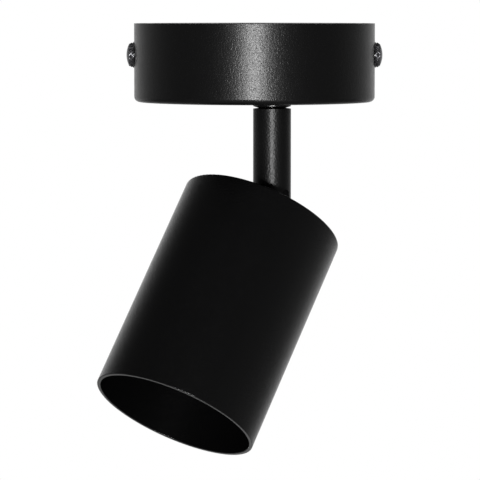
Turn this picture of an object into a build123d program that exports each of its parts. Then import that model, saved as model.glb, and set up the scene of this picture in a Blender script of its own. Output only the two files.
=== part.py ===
from build123d import *
import math
import os

# A ceiling spotlight: a round cup hangs on a strap bracket by two knurled thumb screws,
# a short stem turns under the cup, and a plain cylinder head tilts on a yoke at the stem's end.
# The origin is the middle of the cup's ceiling face, +Z is up, and the sizes are millimetres.
# At rest the head leans towards the front left, as it is shown.

# Clearances
RUNNING_CLEARANCE = 0.05
FIXED_CLEARANCE = 0.02
FREE_CLEARANCE = 0.3
LOOSE_CLEARANCE = 0.2

# Canopy cup
CANOPY_DIAMETER = 80.0
CANOPY_HEIGHT = 26.0
CANOPY_WALL = 1.0
CANOPY_EDGE_RADIUS = 1.8

# Ceiling bracket
BRACKET_WIDTH = 14.0
BRACKET_THICKNESS = 1.5
BRACKET_TAB_MARGIN = 5.0
BRACKET_BEND_RADIUS = 1.0
CEILING_SLOT_SPACING = 60.0
CEILING_SLOT_LENGTH = 8.0
CEILING_SLOT_WIDTH = 4.6

# Thumb screws, a knurled knob on an M4 stud
THUMB_SCREW_DEPTH = 10.45
KNOB_DIAMETER = 8.8
KNOB_TIP_DIAMETER = 7.6
KNOB_RIM_LENGTH = 1.55
KNOB_DOME_HEIGHT = 0.95
KNOB_GROOVES = 12
KNOB_GROOVE_DEPTH = 0.65
KNOB_SOCKET_DEPTH = 1.4
STUD_DIAMETER = 3.9
STUD_PAST_TAB = 3.0

# Terminal block, two poles under the bracket
TERMINAL_CENTRE_X = -17.0
TERMINAL_WIDTH = 18.0
TERMINAL_LENGTH = 20.0
TERMINAL_HEIGHT = 12.0
TERMINAL_POLE_PITCH = 10.0
TERMINAL_CORNER_RADIUS = 1.5
CLAMP_DIAMETER = 4.4
CLAMP_BORE = 3.0
CLAMP_END_RECESS = 1.0
CLAMP_SCREW_DIAMETER = 2.6
CLAMP_SCREW_SPACING = 8.0
CLAMP_SCREW_LENGTH = 4.0

# Small machine screws, M3 and M4
SMALL_SCREW_DIAMETER = 2.9
SMALL_HEAD_DIAMETER = 5.5
SMALL_HEAD_HEIGHT = 1.8
EARTH_SCREW_DIAMETER = 3.9
EARTH_HEAD_DIAMETER = 7.0
EARTH_HEAD_HEIGHT = 2.4
EARTH_SCREW_X = 20.0
DRIVE_SLOT_WIDTH = 0.8
DRIVE_SLOT_DEPTH = 0.9

# Ring lugs of the two earth leads
LUG_THICKNESS = 0.8
LUG_MARGIN = 1.9
LUG_BARREL_LENGTH = 5.5
LUG_BARREL_WALL = 0.5

# Leads
WIRE_DIAMETER = 1.9
WIRE_SPREAD = 1.2
CANOPY_WIRE_BEND = 4.0
HEAD_WIRE_BEND = 2.0
WIRE_IN_CLAMP = 3.5
WIRE_IN_LUG = 3.0
LEAD_DIAMETER = 4.5
LEAD_RISE = 1.2
HINGE_LEAD_REACH = 7.5
HINGE_LEAD_BEND = 22.0

# Swivel at the canopy floor
STEM_OFFSET_X = 5.9
STEM_OFFSET_Y = 5.9
COLLAR_RIM_HEIGHT = 1.7
COLLAR_HUB_HEIGHT = 2.15
COLLAR_SPIGOT_DIAMETER = 12.0
NIPPLE_DIAMETER = 9.4
NIPPLE_BORE = 6.8
NIPPLE_IN_STEM = 8.0
NIPPLE_PAST_NUT = 0.8
FIBRE_WASHER_DIAMETER = 16.0
FIBRE_WASHER_THICKNESS = 0.8
STOP_WASHER_DIAMETER = 15.0
STOP_WASHER_THICKNESS = 1.0
STOP_TAB_WIDTH = 2.5
STOP_TAB_REACH = 11.0
STOP_PIN_ORBIT = 9.7
STOP_PIN_DIAMETER = 2.4
STOP_PIN_PAST_TAB = 0.5
DISC_SPRING_DIAMETER = 15.0
DISC_SPRING_THICKNESS = 0.6
DISC_SPRING_HEIGHT = 1.2
SWIVEL_NUT_ACROSS_FLATS = 14.0
SWIVEL_NUT_HEIGHT = 3.0
JAM_NUT_HEIGHT = 2.5

# Stem
STEM_DIAMETER = 12.7
STEM_WALL = 1.2
STEM_TOP_BEVEL = 0.25
STEM_TOP_GAP = 0.1
STEM_THREAD_LENGTH = 9.0
STEM_REACH = 28.95

# Tilt hinge
REST_TILT = 34.0
REST_LEAN = -132.6
PIVOT_TO_CAP = 9.0
YOKE_WIDTH = 8.0
YOKE_THICKNESS = 1.5
YOKE_TIP_RADIUS = 3.4
YOKE_LENGTH = 24.0
PIVOT_DIAMETER = 3.5
TILT_WASHER_DIAMETER = 4.6
TILT_WASHER_THICKNESS = 0.45
SPRING_WASHER_DIAMETER = 6.4
SPRING_WASHER_THICKNESS = 0.7
SPRING_WASHER_SPLIT = 0.6
TILT_HEAD_DIAMETER = 6.4
TILT_HEAD_HEIGHT = 2.2

# Head
HEAD_DIAMETER = 55.0
HEAD_LENGTH = 75.5
HEAD_WALL = 1.2
HEAD_CAP_EDGE_RADIUS = 0.4
HEAD_MOUTH_EDGE_RADIUS = 0.25
YOKE_SCREW_SPACING = 17.0
GROMMET_DIAMETER = 7.0
GROMMET_FLANGE_DIAMETER = 9.0
GROMMET_FLANGE_THICKNESS = 1.0
LOCK_WASHER_DIAMETER = 5.5

# Lampholder and its bracket
HOLDER_BRACKET_WIDTH = 12.0
HOLDER_BRACKET_LENGTH = 27.0
HOLDER_BRACKET_DEPTH = 9.0
HOLDER_BRACKET_THICKNESS = 1.0
HOLDER_BRACKET_FLANGE = 6.0
HOLDER_LENGTH = 29.0
HOLDER_WIDTH = 17.0
HOLDER_COVER_HEIGHT = 3.0
HOLDER_BODY_HEIGHT = 13.0
HOLDER_CORNER_RADIUS = 3.0
HOLDER_SCREW_SPACING = 22.0
HOLDER_SCREW_RECESS = 2.6
HOLDER_SCREW_PAST_FLANGE = 1.0
LAMP_PIN_SPACING = 10.0
LAMP_PIN_HOLE = 5.6
LAMP_PIN_SLOT = 3.4
LAMP_PIN_TWIST = 28.0
LAMP_PIN_BEARINGS = (90.0, 270.0)
CONTACT_THICKNESS = 0.6

# Sizes that follow from those above
canopy_radius = CANOPY_DIAMETER / 2
canopy_inner_radius = canopy_radius - CANOPY_WALL
floor_top = -CANOPY_HEIGHT + CANOPY_WALL
stem_radius = STEM_DIAMETER / 2
stem_bore_radius = stem_radius - STEM_WALL
nipple_radius = NIPPLE_DIAMETER / 2
head_radius = HEAD_DIAMETER / 2
head_bore_radius = head_radius - HEAD_WALL
wire_radius = WIRE_DIAMETER / 2
lead_radius = LEAD_DIAMETER / 2
pivot_radius = PIVOT_DIAMETER / 2
small_hole_radius = SMALL_SCREW_DIAMETER / 2 + FIXED_CLEARANCE
small_head_radius = SMALL_HEAD_DIAMETER / 2

# Levels of the swivel stack, from the canopy floor up
fibre_washer_top = floor_top + FIBRE_WASHER_THICKNESS
stop_washer_top = fibre_washer_top + STOP_WASHER_THICKNESS
disc_spring_top = stop_washer_top + DISC_SPRING_HEIGHT
swivel_nut_top = disc_spring_top + SWIVEL_NUT_HEIGHT
jam_nut_top = swivel_nut_top + JAM_NUT_HEIGHT
nipple_top = jam_nut_top + NIPPLE_PAST_NUT
lead_top = nipple_top + LEAD_RISE

# Levels of the stem, from the canopy down
collar_bottom = -CANOPY_HEIGHT - COLLAR_HUB_HEIGHT
stem_top = collar_bottom - STEM_TOP_GAP
pivot_level = stem_top - STEM_REACH

# Levels along the head's axis, from the pivot down to the mouth
cap_outer = -PIVOT_TO_CAP
cap_inner = cap_outer - HEAD_WALL
holder_base = cap_inner - HOLDER_BRACKET_THICKNESS
cover_top = cap_inner - HOLDER_BRACKET_DEPTH
body_top = cover_top - HOLDER_COVER_HEIGHT
body_bottom = body_top - HOLDER_BODY_HEIGHT
mouth_level = cap_outer - HEAD_LENGTH

# Frames: the stem's and the head's x run along the hinge axis, their y towards the lean
lean = Vector(math.cos(math.radians(REST_LEAN)), math.sin(math.radians(REST_LEAN)), 0)
hinge_axis = Vector(lean.Y, -lean.X, 0)
tilt_sine = math.sin(math.radians(REST_TILT))
tilt_cosine = math.cos(math.radians(REST_TILT))
head_up = Vector(0, 0, 1) * tilt_cosine - lean * tilt_sine
pivot_point = Vector(STEM_OFFSET_X, STEM_OFFSET_Y, pivot_level)
STEM = Plane(origin=pivot_point, x_dir=hinge_axis, z_dir=(0, 0, 1))
HEAD = Plane(origin=pivot_point, x_dir=hinge_axis, z_dir=head_up)
stem_axis = Axis((STEM_OFFSET_X, STEM_OFFSET_Y, 0), (0, 0, 1))


def stem_level(z):
    """Plane square to the stem at a height above the ceiling plane, turned with the stem."""
    return Plane(origin=(STEM_OFFSET_X, STEM_OFFSET_Y, z), x_dir=hinge_axis, z_dir=(0, 0, 1))


def side_plane(frame, x):
    """Plane square to the hinge axis: its own x is the frame's y, and its own y the frame's z."""
    origin = frame.from_local_coords((x, 0, 0))
    return Plane(origin=origin, x_dir=frame.y_dir, z_dir=frame.x_dir)


def stem_section():
    """Plane through the stem's axis, for turned profiles: x is the radius and y the height."""
    return Plane(origin=(STEM_OFFSET_X, STEM_OFFSET_Y, 0), x_dir=hinge_axis, z_dir=-lean)


def knob_side(side):
    """Plane square to a thumb screw's axis on the canopy wall, facing outwards."""
    seat = (side * canopy_radius, 0, -THUMB_SCREW_DEPTH)
    return Plane(origin=seat, x_dir=(0, 1, 0), z_dir=(side, 0, 0))


def make_wire(points, bend):
    """An insulated wire along straight runs joined by tangent arcs."""
    with BuildPart() as wire:
        with BuildLine() as route:
            FilletPolyline(*points, radius=bend)
        with BuildSketch(Plane(origin=route.line @ 0, z_dir=route.line % 0)):
            Circle(wire_radius)
        sweep(path=route.line)
    return wire.part


def wire_place(angle):
    """Where one of the three wires leaves the lead's end, around the lead's axis."""
    turn = math.radians(angle)
    return (WIRE_SPREAD * math.cos(turn), WIRE_SPREAD * math.sin(turn))


def make_pan_screw(seat, diameter, length, head_diameter, head_height):
    """A slotted pan-head screw: the head stands up from the seat plane and the shank goes down."""
    with BuildPart() as screw:
        with BuildSketch(seat):
            Circle(diameter / 2)
        extrude(amount=-length)
        with BuildSketch(seat):
            Circle(head_diameter / 2)
        extrude(amount=head_height, taper=head_height)
        with BuildSketch(seat.offset(head_height)):
            Rectangle(head_diameter, DRIVE_SLOT_WIDTH)
        extrude(amount=-DRIVE_SLOT_DEPTH, mode=Mode.SUBTRACT)
    return screw.part


def make_lug(centre_plane, screw_diameter):
    """A ring lug: the ring lies on the plane and the crimp barrel runs along the plane's x."""
    ring_inner = screw_diameter / 2 + LOOSE_CLEARANCE
    ring_outer = ring_inner + LUG_MARGIN
    barrel_inner = wire_radius + RUNNING_CLEARANCE
    barrel_outer = barrel_inner + LUG_BARREL_WALL
    barrel_start = centre_plane.from_local_coords((ring_outer, 0, barrel_outer))
    with BuildPart() as lug:
        with BuildSketch(centre_plane):
            Circle(ring_outer)
            with Locations((ring_outer / 2, 0)):
                Rectangle(ring_outer + LUG_THICKNESS, 2 * barrel_inner)
            Circle(ring_inner, mode=Mode.SUBTRACT)
        extrude(amount=LUG_THICKNESS)
        with BuildSketch(Plane(origin=barrel_start, x_dir=centre_plane.y_dir, z_dir=centre_plane.x_dir)):
            Circle(barrel_outer)
            Circle(barrel_inner, mode=Mode.SUBTRACT)
        extrude(amount=LUG_BARREL_LENGTH)
    return lug.part


def lug_wire_end(centre_plane, screw_diameter, along):
    """The point on a lug's barrel axis, measured along the barrel from the ring's edge."""
    ring_outer = screw_diameter / 2 + LOOSE_CLEARANCE + LUG_MARGIN
    barrel_outer = wire_radius + RUNNING_CLEARANCE + LUG_BARREL_WALL
    return centre_plane.from_local_coords((ring_outer + along, 0, barrel_outer))


def make_hex_nut(level, height):
    """A hexagon nut on the nipple."""
    with BuildPart() as nut:
        with BuildSketch(stem_level(level)):
            RegularPolygon(SWIVEL_NUT_ACROSS_FLATS / 2, 6, major_radius=False)
            Circle(nipple_radius + FIXED_CLEARANCE, mode=Mode.SUBTRACT)
        extrude(amount=height)
    return nut.part


# Canopy cup, drawn from sheet steel
with BuildPart() as canopy_cup:
    with BuildSketch():
        Circle(canopy_radius)
    extrude(amount=-CANOPY_HEIGHT)
    fillet(canopy_cup.edges().sort_by(Axis.Z)[0], CANOPY_EDGE_RADIUS)
    offset(amount=-CANOPY_WALL, openings=canopy_cup.faces().sort_by(Axis.Z)[-1])
    with BuildSketch(stem_level(-CANOPY_HEIGHT)):
        Circle(COLLAR_SPIGOT_DIAMETER / 2 + FIXED_CLEARANCE)
    extrude(amount=2 * CANOPY_WALL, mode=Mode.SUBTRACT)
    with BuildSketch(Plane.YZ):
        with Locations((0, -THUMB_SCREW_DEPTH)):
            Circle(STUD_DIAMETER / 2 + LOOSE_CLEARANCE)
    extrude(amount=CANOPY_DIAMETER, both=True, mode=Mode.SUBTRACT)

# Ceiling bracket: a strap with its ends bent down inside the cup
tab_face = math.sqrt(canopy_inner_radius**2 - (BRACKET_WIDTH / 2) ** 2) - FREE_CLEARANCE
tab_depth = THUMB_SCREW_DEPTH + BRACKET_TAB_MARGIN
with BuildPart() as mounting_bracket:
    with BuildSketch(Plane.XZ) as strap_side:
        Rectangle(2 * tab_face, tab_depth, align=(Align.CENTER, Align.MAX))
        fillet(strap_side.vertices().group_by(Axis.Y)[-1], BRACKET_BEND_RADIUS + BRACKET_THICKNESS)
    extrude(amount=BRACKET_WIDTH / 2, both=True)
    with BuildSketch(Plane.XZ) as strap_inside:
        with Locations((0, -BRACKET_THICKNESS)):
            Rectangle(2 * (tab_face - BRACKET_THICKNESS), tab_depth, align=(Align.CENTER, Align.MAX))
        fillet(strap_inside.vertices().group_by(Axis.Y)[-1], BRACKET_BEND_RADIUS)
    extrude(amount=BRACKET_WIDTH, both=True, mode=Mode.SUBTRACT)
    with BuildSketch():
        with GridLocations(CEILING_SLOT_SPACING, 0, 2, 1):
            SlotOverall(CEILING_SLOT_LENGTH, CEILING_SLOT_WIDTH)
        with Locations((TERMINAL_CENTRE_X, 0)):
            Circle(small_hole_radius)
        with Locations((EARTH_SCREW_X, 0)):
            Circle(EARTH_SCREW_DIAMETER / 2 + FIXED_CLEARANCE)
    extrude(amount=-BRACKET_THICKNESS, mode=Mode.SUBTRACT)
    with BuildSketch(Plane.YZ):
        with Locations((0, -THUMB_SCREW_DEPTH)):
            Circle(STUD_DIAMETER / 2 + RUNNING_CLEARANCE)
    extrude(amount=CANOPY_DIAMETER, both=True, mode=Mode.SUBTRACT)

# Thumb screws, one on each side
stud_length = canopy_radius - tab_face + BRACKET_THICKNESS + STUD_PAST_TAB
knob_tip_radius = KNOB_TIP_DIAMETER / 2
dome_radius = (knob_tip_radius**2 + KNOB_DOME_HEIGHT**2) / (2 * KNOB_DOME_HEIGHT)
groove_side = math.sqrt(2) * KNOB_GROOVE_DEPTH
thumb_studs = {}
thumb_knobs = {}
for side_name, side in (("left", -1), ("right", 1)):
    with BuildPart() as thumb_stud:
        with BuildSketch(knob_side(side).offset(KNOB_SOCKET_DEPTH)):
            Circle(STUD_DIAMETER / 2)
        extrude(amount=-KNOB_SOCKET_DEPTH - stud_length)
    thumb_studs[side_name] = thumb_stud.part

    rim_plane = knob_side(side).offset(RUNNING_CLEARANCE)
    axis_line = Axis(rim_plane.origin, rim_plane.z_dir)
    with BuildPart() as thumb_knob:
        with BuildSketch(Plane(origin=rim_plane.origin, x_dir=rim_plane.x_dir, z_dir=-rim_plane.y_dir)):
            with BuildLine():
                rim_end = KNOB_RIM_LENGTH
                apex = KNOB_RIM_LENGTH + KNOB_DOME_HEIGHT
                Polyline((0, apex), (0, 0), (KNOB_DIAMETER / 2, 0), (knob_tip_radius, rim_end))
                RadiusArc((0, apex), (knob_tip_radius, rim_end), dome_radius)
            make_face()
        revolve(axis=axis_line)
        with BuildSketch(rim_plane):
            with PolarLocations(KNOB_DIAMETER / 2, KNOB_GROOVES, start_angle=180 / KNOB_GROOVES):
                Rectangle(groove_side, groove_side, rotation=45)
        extrude(amount=KNOB_RIM_LENGTH, mode=Mode.SUBTRACT)
        with BuildSketch(rim_plane):
            Circle(STUD_DIAMETER / 2 + RUNNING_CLEARANCE)
        extrude(amount=KNOB_SOCKET_DEPTH, mode=Mode.SUBTRACT)
    thumb_knobs[side_name] = thumb_knob.part

# Terminal block: a moulded body, brass clamps and their screws
terminal_top = -BRACKET_THICKNESS
terminal_bottom = terminal_top - TERMINAL_HEIGHT
clamp_level = terminal_top - TERMINAL_HEIGHT / 2
clamp_start = TERMINAL_CENTRE_X - TERMINAL_WIDTH / 2 + CLAMP_END_RECESS
clamp_length = TERMINAL_WIDTH - 2 * CLAMP_END_RECESS
with BuildPart() as terminal_block:
    with BuildSketch(Plane.XY.offset(terminal_bottom)):
        with Locations((TERMINAL_CENTRE_X, 0)):
            RectangleRounded(TERMINAL_WIDTH, TERMINAL_LENGTH, TERMINAL_CORNER_RADIUS)
    extrude(amount=TERMINAL_HEIGHT)
    with BuildSketch(Plane.YZ.offset(TERMINAL_CENTRE_X)):
        with Locations((0, clamp_level)):
            with GridLocations(TERMINAL_POLE_PITCH, 0, 2, 1):
                Circle(CLAMP_DIAMETER / 2 + FIXED_CLEARANCE)
    extrude(amount=TERMINAL_WIDTH, both=True, mode=Mode.SUBTRACT)
    with BuildSketch(Plane.XY.offset(terminal_bottom)):
        with Locations((TERMINAL_CENTRE_X, 0)):
            with GridLocations(CLAMP_SCREW_SPACING, TERMINAL_POLE_PITCH, 2, 2):
                Circle(CLAMP_SCREW_DIAMETER / 2 + LOOSE_CLEARANCE)
    extrude(amount=TERMINAL_HEIGHT / 2, mode=Mode.SUBTRACT)
    with BuildSketch(Plane.XY.offset(terminal_bottom)):
        with Locations((TERMINAL_CENTRE_X, 0)):
            Circle(small_hole_radius)
    extrude(amount=TERMINAL_HEIGHT, mode=Mode.SUBTRACT)

with BuildPart() as terminal_clamps:
    with BuildSketch(Plane.YZ.offset(clamp_start)):
        with Locations((0, clamp_level)):
            with GridLocations(TERMINAL_POLE_PITCH, 0, 2, 1):
                Circle(CLAMP_DIAMETER / 2)
                Circle(CLAMP_BORE / 2, mode=Mode.SUBTRACT)
    extrude(amount=clamp_length)
    with BuildSketch(Plane.XY.offset(clamp_level)):
        with Locations((TERMINAL_CENTRE_X, 0)):
            with GridLocations(CLAMP_SCREW_SPACING, TERMINAL_POLE_PITCH, 2, 2):
                Circle(CLAMP_SCREW_DIAMETER / 2 + FIXED_CLEARANCE)
    extrude(amount=-CLAMP_DIAMETER, mode=Mode.SUBTRACT)

clamp_screw_tip = clamp_level - wire_radius - RUNNING_CLEARANCE
with BuildPart() as terminal_screws:
    with BuildSketch(Plane.XY.offset(clamp_screw_tip)):
        with Locations((TERMINAL_CENTRE_X, 0)):
            with GridLocations(CLAMP_SCREW_SPACING, TERMINAL_POLE_PITCH, 2, 2):
                Circle(CLAMP_SCREW_DIAMETER / 2)
    extrude(amount=-CLAMP_SCREW_LENGTH)
    with BuildSketch(Plane.XY.offset(clamp_screw_tip - CLAMP_SCREW_LENGTH)):
        with Locations((TERMINAL_CENTRE_X, 0)):
            with GridLocations(CLAMP_SCREW_SPACING, TERMINAL_POLE_PITCH, 2, 2):
                Rectangle(CLAMP_SCREW_DIAMETER, DRIVE_SLOT_WIDTH)
    extrude(amount=DRIVE_SLOT_DEPTH, mode=Mode.SUBTRACT)

terminal_seat_origin = (TERMINAL_CENTRE_X, 0, terminal_bottom)
terminal_seat = Plane(origin=terminal_seat_origin, x_dir=(1, 0, 0), z_dir=(0, 0, -1))
terminal_fixing_screw = make_pan_screw(
    terminal_seat,
    SMALL_SCREW_DIAMETER,
    TERMINAL_HEIGHT + BRACKET_THICKNESS,
    SMALL_HEAD_DIAMETER,
    SMALL_HEAD_HEIGHT,
)

# Earth terminal: a lug under a screw in the bracket
earth_offset = wire_place(30)
earth_start = (STEM_OFFSET_X + earth_offset[0], STEM_OFFSET_Y + earth_offset[1])
earth_direction = Vector(earth_start[0] - EARTH_SCREW_X, earth_start[1], 0)
earth_lug_origin = (EARTH_SCREW_X, 0, -BRACKET_THICKNESS)
earth_lug_plane = Plane(origin=earth_lug_origin, x_dir=earth_direction, z_dir=(0, 0, -1))
earth_lug = make_lug(earth_lug_plane, EARTH_SCREW_DIAMETER)
earth_screw = make_pan_screw(
    earth_lug_plane.offset(LUG_THICKNESS),
    EARTH_SCREW_DIAMETER,
    LUG_THICKNESS + BRACKET_THICKNESS,
    EARTH_HEAD_DIAMETER,
    EARTH_HEAD_HEIGHT,
)

# Swivel collar: the fixed ring between the canopy and the stem
with BuildPart() as swivel_collar:
    with BuildSketch(stem_section()):
        with BuildLine():
            collar_bore = nipple_radius + RUNNING_CLEARANCE
            Polyline(
                (collar_bore, floor_top),
                (COLLAR_SPIGOT_DIAMETER / 2, floor_top),
                (COLLAR_SPIGOT_DIAMETER / 2, -CANOPY_HEIGHT),
                (stem_radius, -CANOPY_HEIGHT),
                (stem_radius, -CANOPY_HEIGHT - COLLAR_RIM_HEIGHT),
                (collar_bore, collar_bottom),
                close=True,
            )
        make_face()
    revolve(axis=stem_axis)

with BuildPart() as fibre_washer:
    with BuildSketch(stem_level(floor_top)):
        Circle(FIBRE_WASHER_DIAMETER / 2)
        Circle(nipple_radius + RUNNING_CLEARANCE, mode=Mode.SUBTRACT)
    extrude(amount=FIBRE_WASHER_THICKNESS)

# Stop: a pin on the canopy floor meets a tab that turns with the stem
stop_pin_height = stop_washer_top - floor_top + STOP_PIN_PAST_TAB
with BuildPart() as stop_pin:
    with BuildSketch(Plane.XY.offset(floor_top)):
        with Locations((STEM_OFFSET_X, STEM_OFFSET_Y + STOP_PIN_ORBIT)):
            Circle(STOP_PIN_DIAMETER / 2)
    extrude(amount=stop_pin_height)

with BuildPart() as stop_washer:
    with BuildSketch(stem_level(fibre_washer_top)):
        Circle(STOP_WASHER_DIAMETER / 2)
        Rectangle(STOP_TAB_WIDTH, STOP_TAB_REACH, align=(Align.CENTER, Align.MIN))
        Circle(nipple_radius + FIXED_CLEARANCE, mode=Mode.SUBTRACT)
    extrude(amount=STOP_WASHER_THICKNESS)

with BuildPart() as disc_spring:
    with BuildSketch(stem_section()):
        with BuildLine():
            spring_bore = nipple_radius + FIXED_CLEARANCE
            spring_rise = DISC_SPRING_HEIGHT - DISC_SPRING_THICKNESS
            Polyline(
                (spring_bore, stop_washer_top + spring_rise),
                (DISC_SPRING_DIAMETER / 2, stop_washer_top),
                (DISC_SPRING_DIAMETER / 2, stop_washer_top + DISC_SPRING_THICKNESS),
                (spring_bore, disc_spring_top),
                close=True,
            )
        make_face()
    revolve(axis=stem_axis)

swivel_nut = make_hex_nut(disc_spring_top, SWIVEL_NUT_HEIGHT)
jam_nut = make_hex_nut(swivel_nut_top, JAM_NUT_HEIGHT)

# Hollow nipple that carries the stem
nipple_bottom = stem_top - NIPPLE_IN_STEM
with BuildPart() as swivel_nipple:
    with BuildSketch(stem_level(nipple_bottom)):
        Circle(nipple_radius)
        Circle(NIPPLE_BORE / 2, mode=Mode.SUBTRACT)
    extrude(amount=nipple_top - nipple_bottom)

# Stem: a turned tube, threaded for the nipple above and slotted for the yoke below
yoke_slot_width = YOKE_WIDTH + 2 * LOOSE_CLEARANCE
yoke_slot_top = YOKE_TIP_RADIUS + FREE_CLEARANCE
with BuildPart() as stem_tube:
    with BuildSketch(stem_section()):
        with BuildLine():
            thread_radius = nipple_radius + FIXED_CLEARANCE
            thread_end = stem_top - STEM_THREAD_LENGTH
            stem_bottom = pivot_level - stem_radius
            Polyline(
                (thread_radius, stem_top),
                (stem_radius, stem_top - STEM_TOP_BEVEL),
                (stem_radius, stem_bottom),
                (stem_bore_radius, stem_bottom),
                (stem_bore_radius, thread_end),
                (thread_radius, thread_end),
                close=True,
            )
        make_face()
    revolve(axis=stem_axis)
    with BuildSketch(STEM.offset(yoke_slot_top)):
        Rectangle(yoke_slot_width, 2 * STEM_DIAMETER)
    extrude(amount=-yoke_slot_top - STEM_DIAMETER, mode=Mode.SUBTRACT)
    with BuildSketch(side_plane(STEM, 0)):
        Rectangle(2 * STEM_DIAMETER, STEM_DIAMETER, align=(Align.CENTER, Align.MAX))
        Circle(stem_radius, mode=Mode.SUBTRACT)
    extrude(amount=STEM_DIAMETER, both=True, mode=Mode.SUBTRACT)
    with BuildSketch(side_plane(STEM, 0)):
        Circle(pivot_radius + RUNNING_CLEARANCE)
    extrude(amount=STEM_DIAMETER, both=True, mode=Mode.SUBTRACT)

# Yoke: a channel on the head's cap whose two ears fit in the stem's slot
yoke_inner = YOKE_WIDTH / 2 - YOKE_THICKNESS
with BuildPart() as hinge_yoke:
    with BuildSketch(HEAD.offset(cap_outer)):
        SlotOverall(YOKE_LENGTH, YOKE_WIDTH, rotation=90)
    extrude(amount=YOKE_THICKNESS)
    for ear_start in (yoke_inner, -YOKE_WIDTH / 2):
        with BuildSketch(side_plane(HEAD, ear_start)):
            Circle(YOKE_TIP_RADIUS)
            Rectangle(2 * YOKE_TIP_RADIUS, PIVOT_TO_CAP, align=(Align.CENTER, Align.MAX))
        extrude(amount=YOKE_THICKNESS)
    with BuildSketch(side_plane(HEAD, 0)):
        Circle(pivot_radius + FIXED_CLEARANCE)
    extrude(amount=YOKE_WIDTH, both=True, mode=Mode.SUBTRACT)
    with BuildSketch(HEAD.offset(cap_outer)):
        Circle(lead_radius + LOOSE_CLEARANCE)
        with GridLocations(0, YOKE_SCREW_SPACING, 1, 2):
            Circle(small_hole_radius)
    extrude(amount=YOKE_THICKNESS, mode=Mode.SUBTRACT)

# Hinge pieces: a flush pin in one ear, and a screw with a spring washer in the other
pin_end = math.sqrt(stem_radius**2 - pivot_radius**2)
with BuildPart() as pivot_pin:
    with BuildSketch(side_plane(HEAD, -yoke_inner)):
        Circle(pivot_radius)
    extrude(amount=yoke_inner - pin_end)

with BuildPart() as tilt_washers:
    for washer_start in (YOKE_WIDTH / 2, -YOKE_WIDTH / 2 - TILT_WASHER_THICKNESS):
        with BuildSketch(side_plane(HEAD, washer_start)):
            Circle(TILT_WASHER_DIAMETER / 2)
            Circle(pivot_radius + FIXED_CLEARANCE, mode=Mode.SUBTRACT)
        extrude(amount=TILT_WASHER_THICKNESS)

spring_washer_start = stem_radius + RUNNING_CLEARANCE
with BuildPart() as tilt_spring_washer:
    with BuildSketch(side_plane(HEAD, spring_washer_start)):
        Circle(SPRING_WASHER_DIAMETER / 2)
        Circle(pivot_radius + LOOSE_CLEARANCE, mode=Mode.SUBTRACT)
        Rectangle(
            SPRING_WASHER_DIAMETER,
            SPRING_WASHER_SPLIT,
            align=(Align.MIN, Align.CENTER),
            mode=Mode.SUBTRACT,
        )
    extrude(amount=SPRING_WASHER_THICKNESS)

tilt_seat = spring_washer_start + SPRING_WASHER_THICKNESS
tilt_screw = make_pan_screw(
    side_plane(HEAD, tilt_seat),
    PIVOT_DIAMETER,
    tilt_seat - yoke_inner,
    TILT_HEAD_DIAMETER,
    TILT_HEAD_HEIGHT,
)

# Head shell: a drawn can, closed at the cap and open at the mouth
with BuildPart() as head_shell:
    with BuildSketch(HEAD.offset(cap_outer)):
        Circle(head_radius)
    extrude(amount=-HEAD_LENGTH)
    cap_edge = head_shell.edges().sort_by(Axis(HEAD.origin, HEAD.z_dir))[-1]
    fillet(cap_edge, HEAD_CAP_EDGE_RADIUS)
    with BuildSketch(HEAD.offset(cap_inner)):
        Circle(head_bore_radius)
    extrude(amount=mouth_level - cap_inner, mode=Mode.SUBTRACT)
    mouth_edges = head_shell.edges().group_by(Axis(HEAD.origin, HEAD.z_dir))[0]
    fillet(mouth_edges, HEAD_MOUTH_EDGE_RADIUS)
    with BuildSketch(HEAD.offset(cap_outer)):
        Circle(GROMMET_DIAMETER / 2 + FIXED_CLEARANCE)
        with GridLocations(0, YOKE_SCREW_SPACING, 1, 2):
            Circle(small_hole_radius)
    extrude(amount=-HEAD_WALL, mode=Mode.SUBTRACT)

with BuildPart() as cable_grommet:
    with BuildSketch(HEAD.offset(cap_outer)):
        Circle(GROMMET_DIAMETER / 2)
    extrude(amount=-HEAD_WALL)
    with BuildSketch(HEAD.offset(cap_inner)):
        Circle(GROMMET_FLANGE_DIAMETER / 2)
    extrude(amount=-GROMMET_FLANGE_THICKNESS)
    with BuildSketch(HEAD.offset(cap_outer)):
        Circle(lead_radius + RUNNING_CLEARANCE)
    extrude(amount=-HEAD_WALL - GROMMET_FLANGE_THICKNESS, mode=Mode.SUBTRACT)

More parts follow.
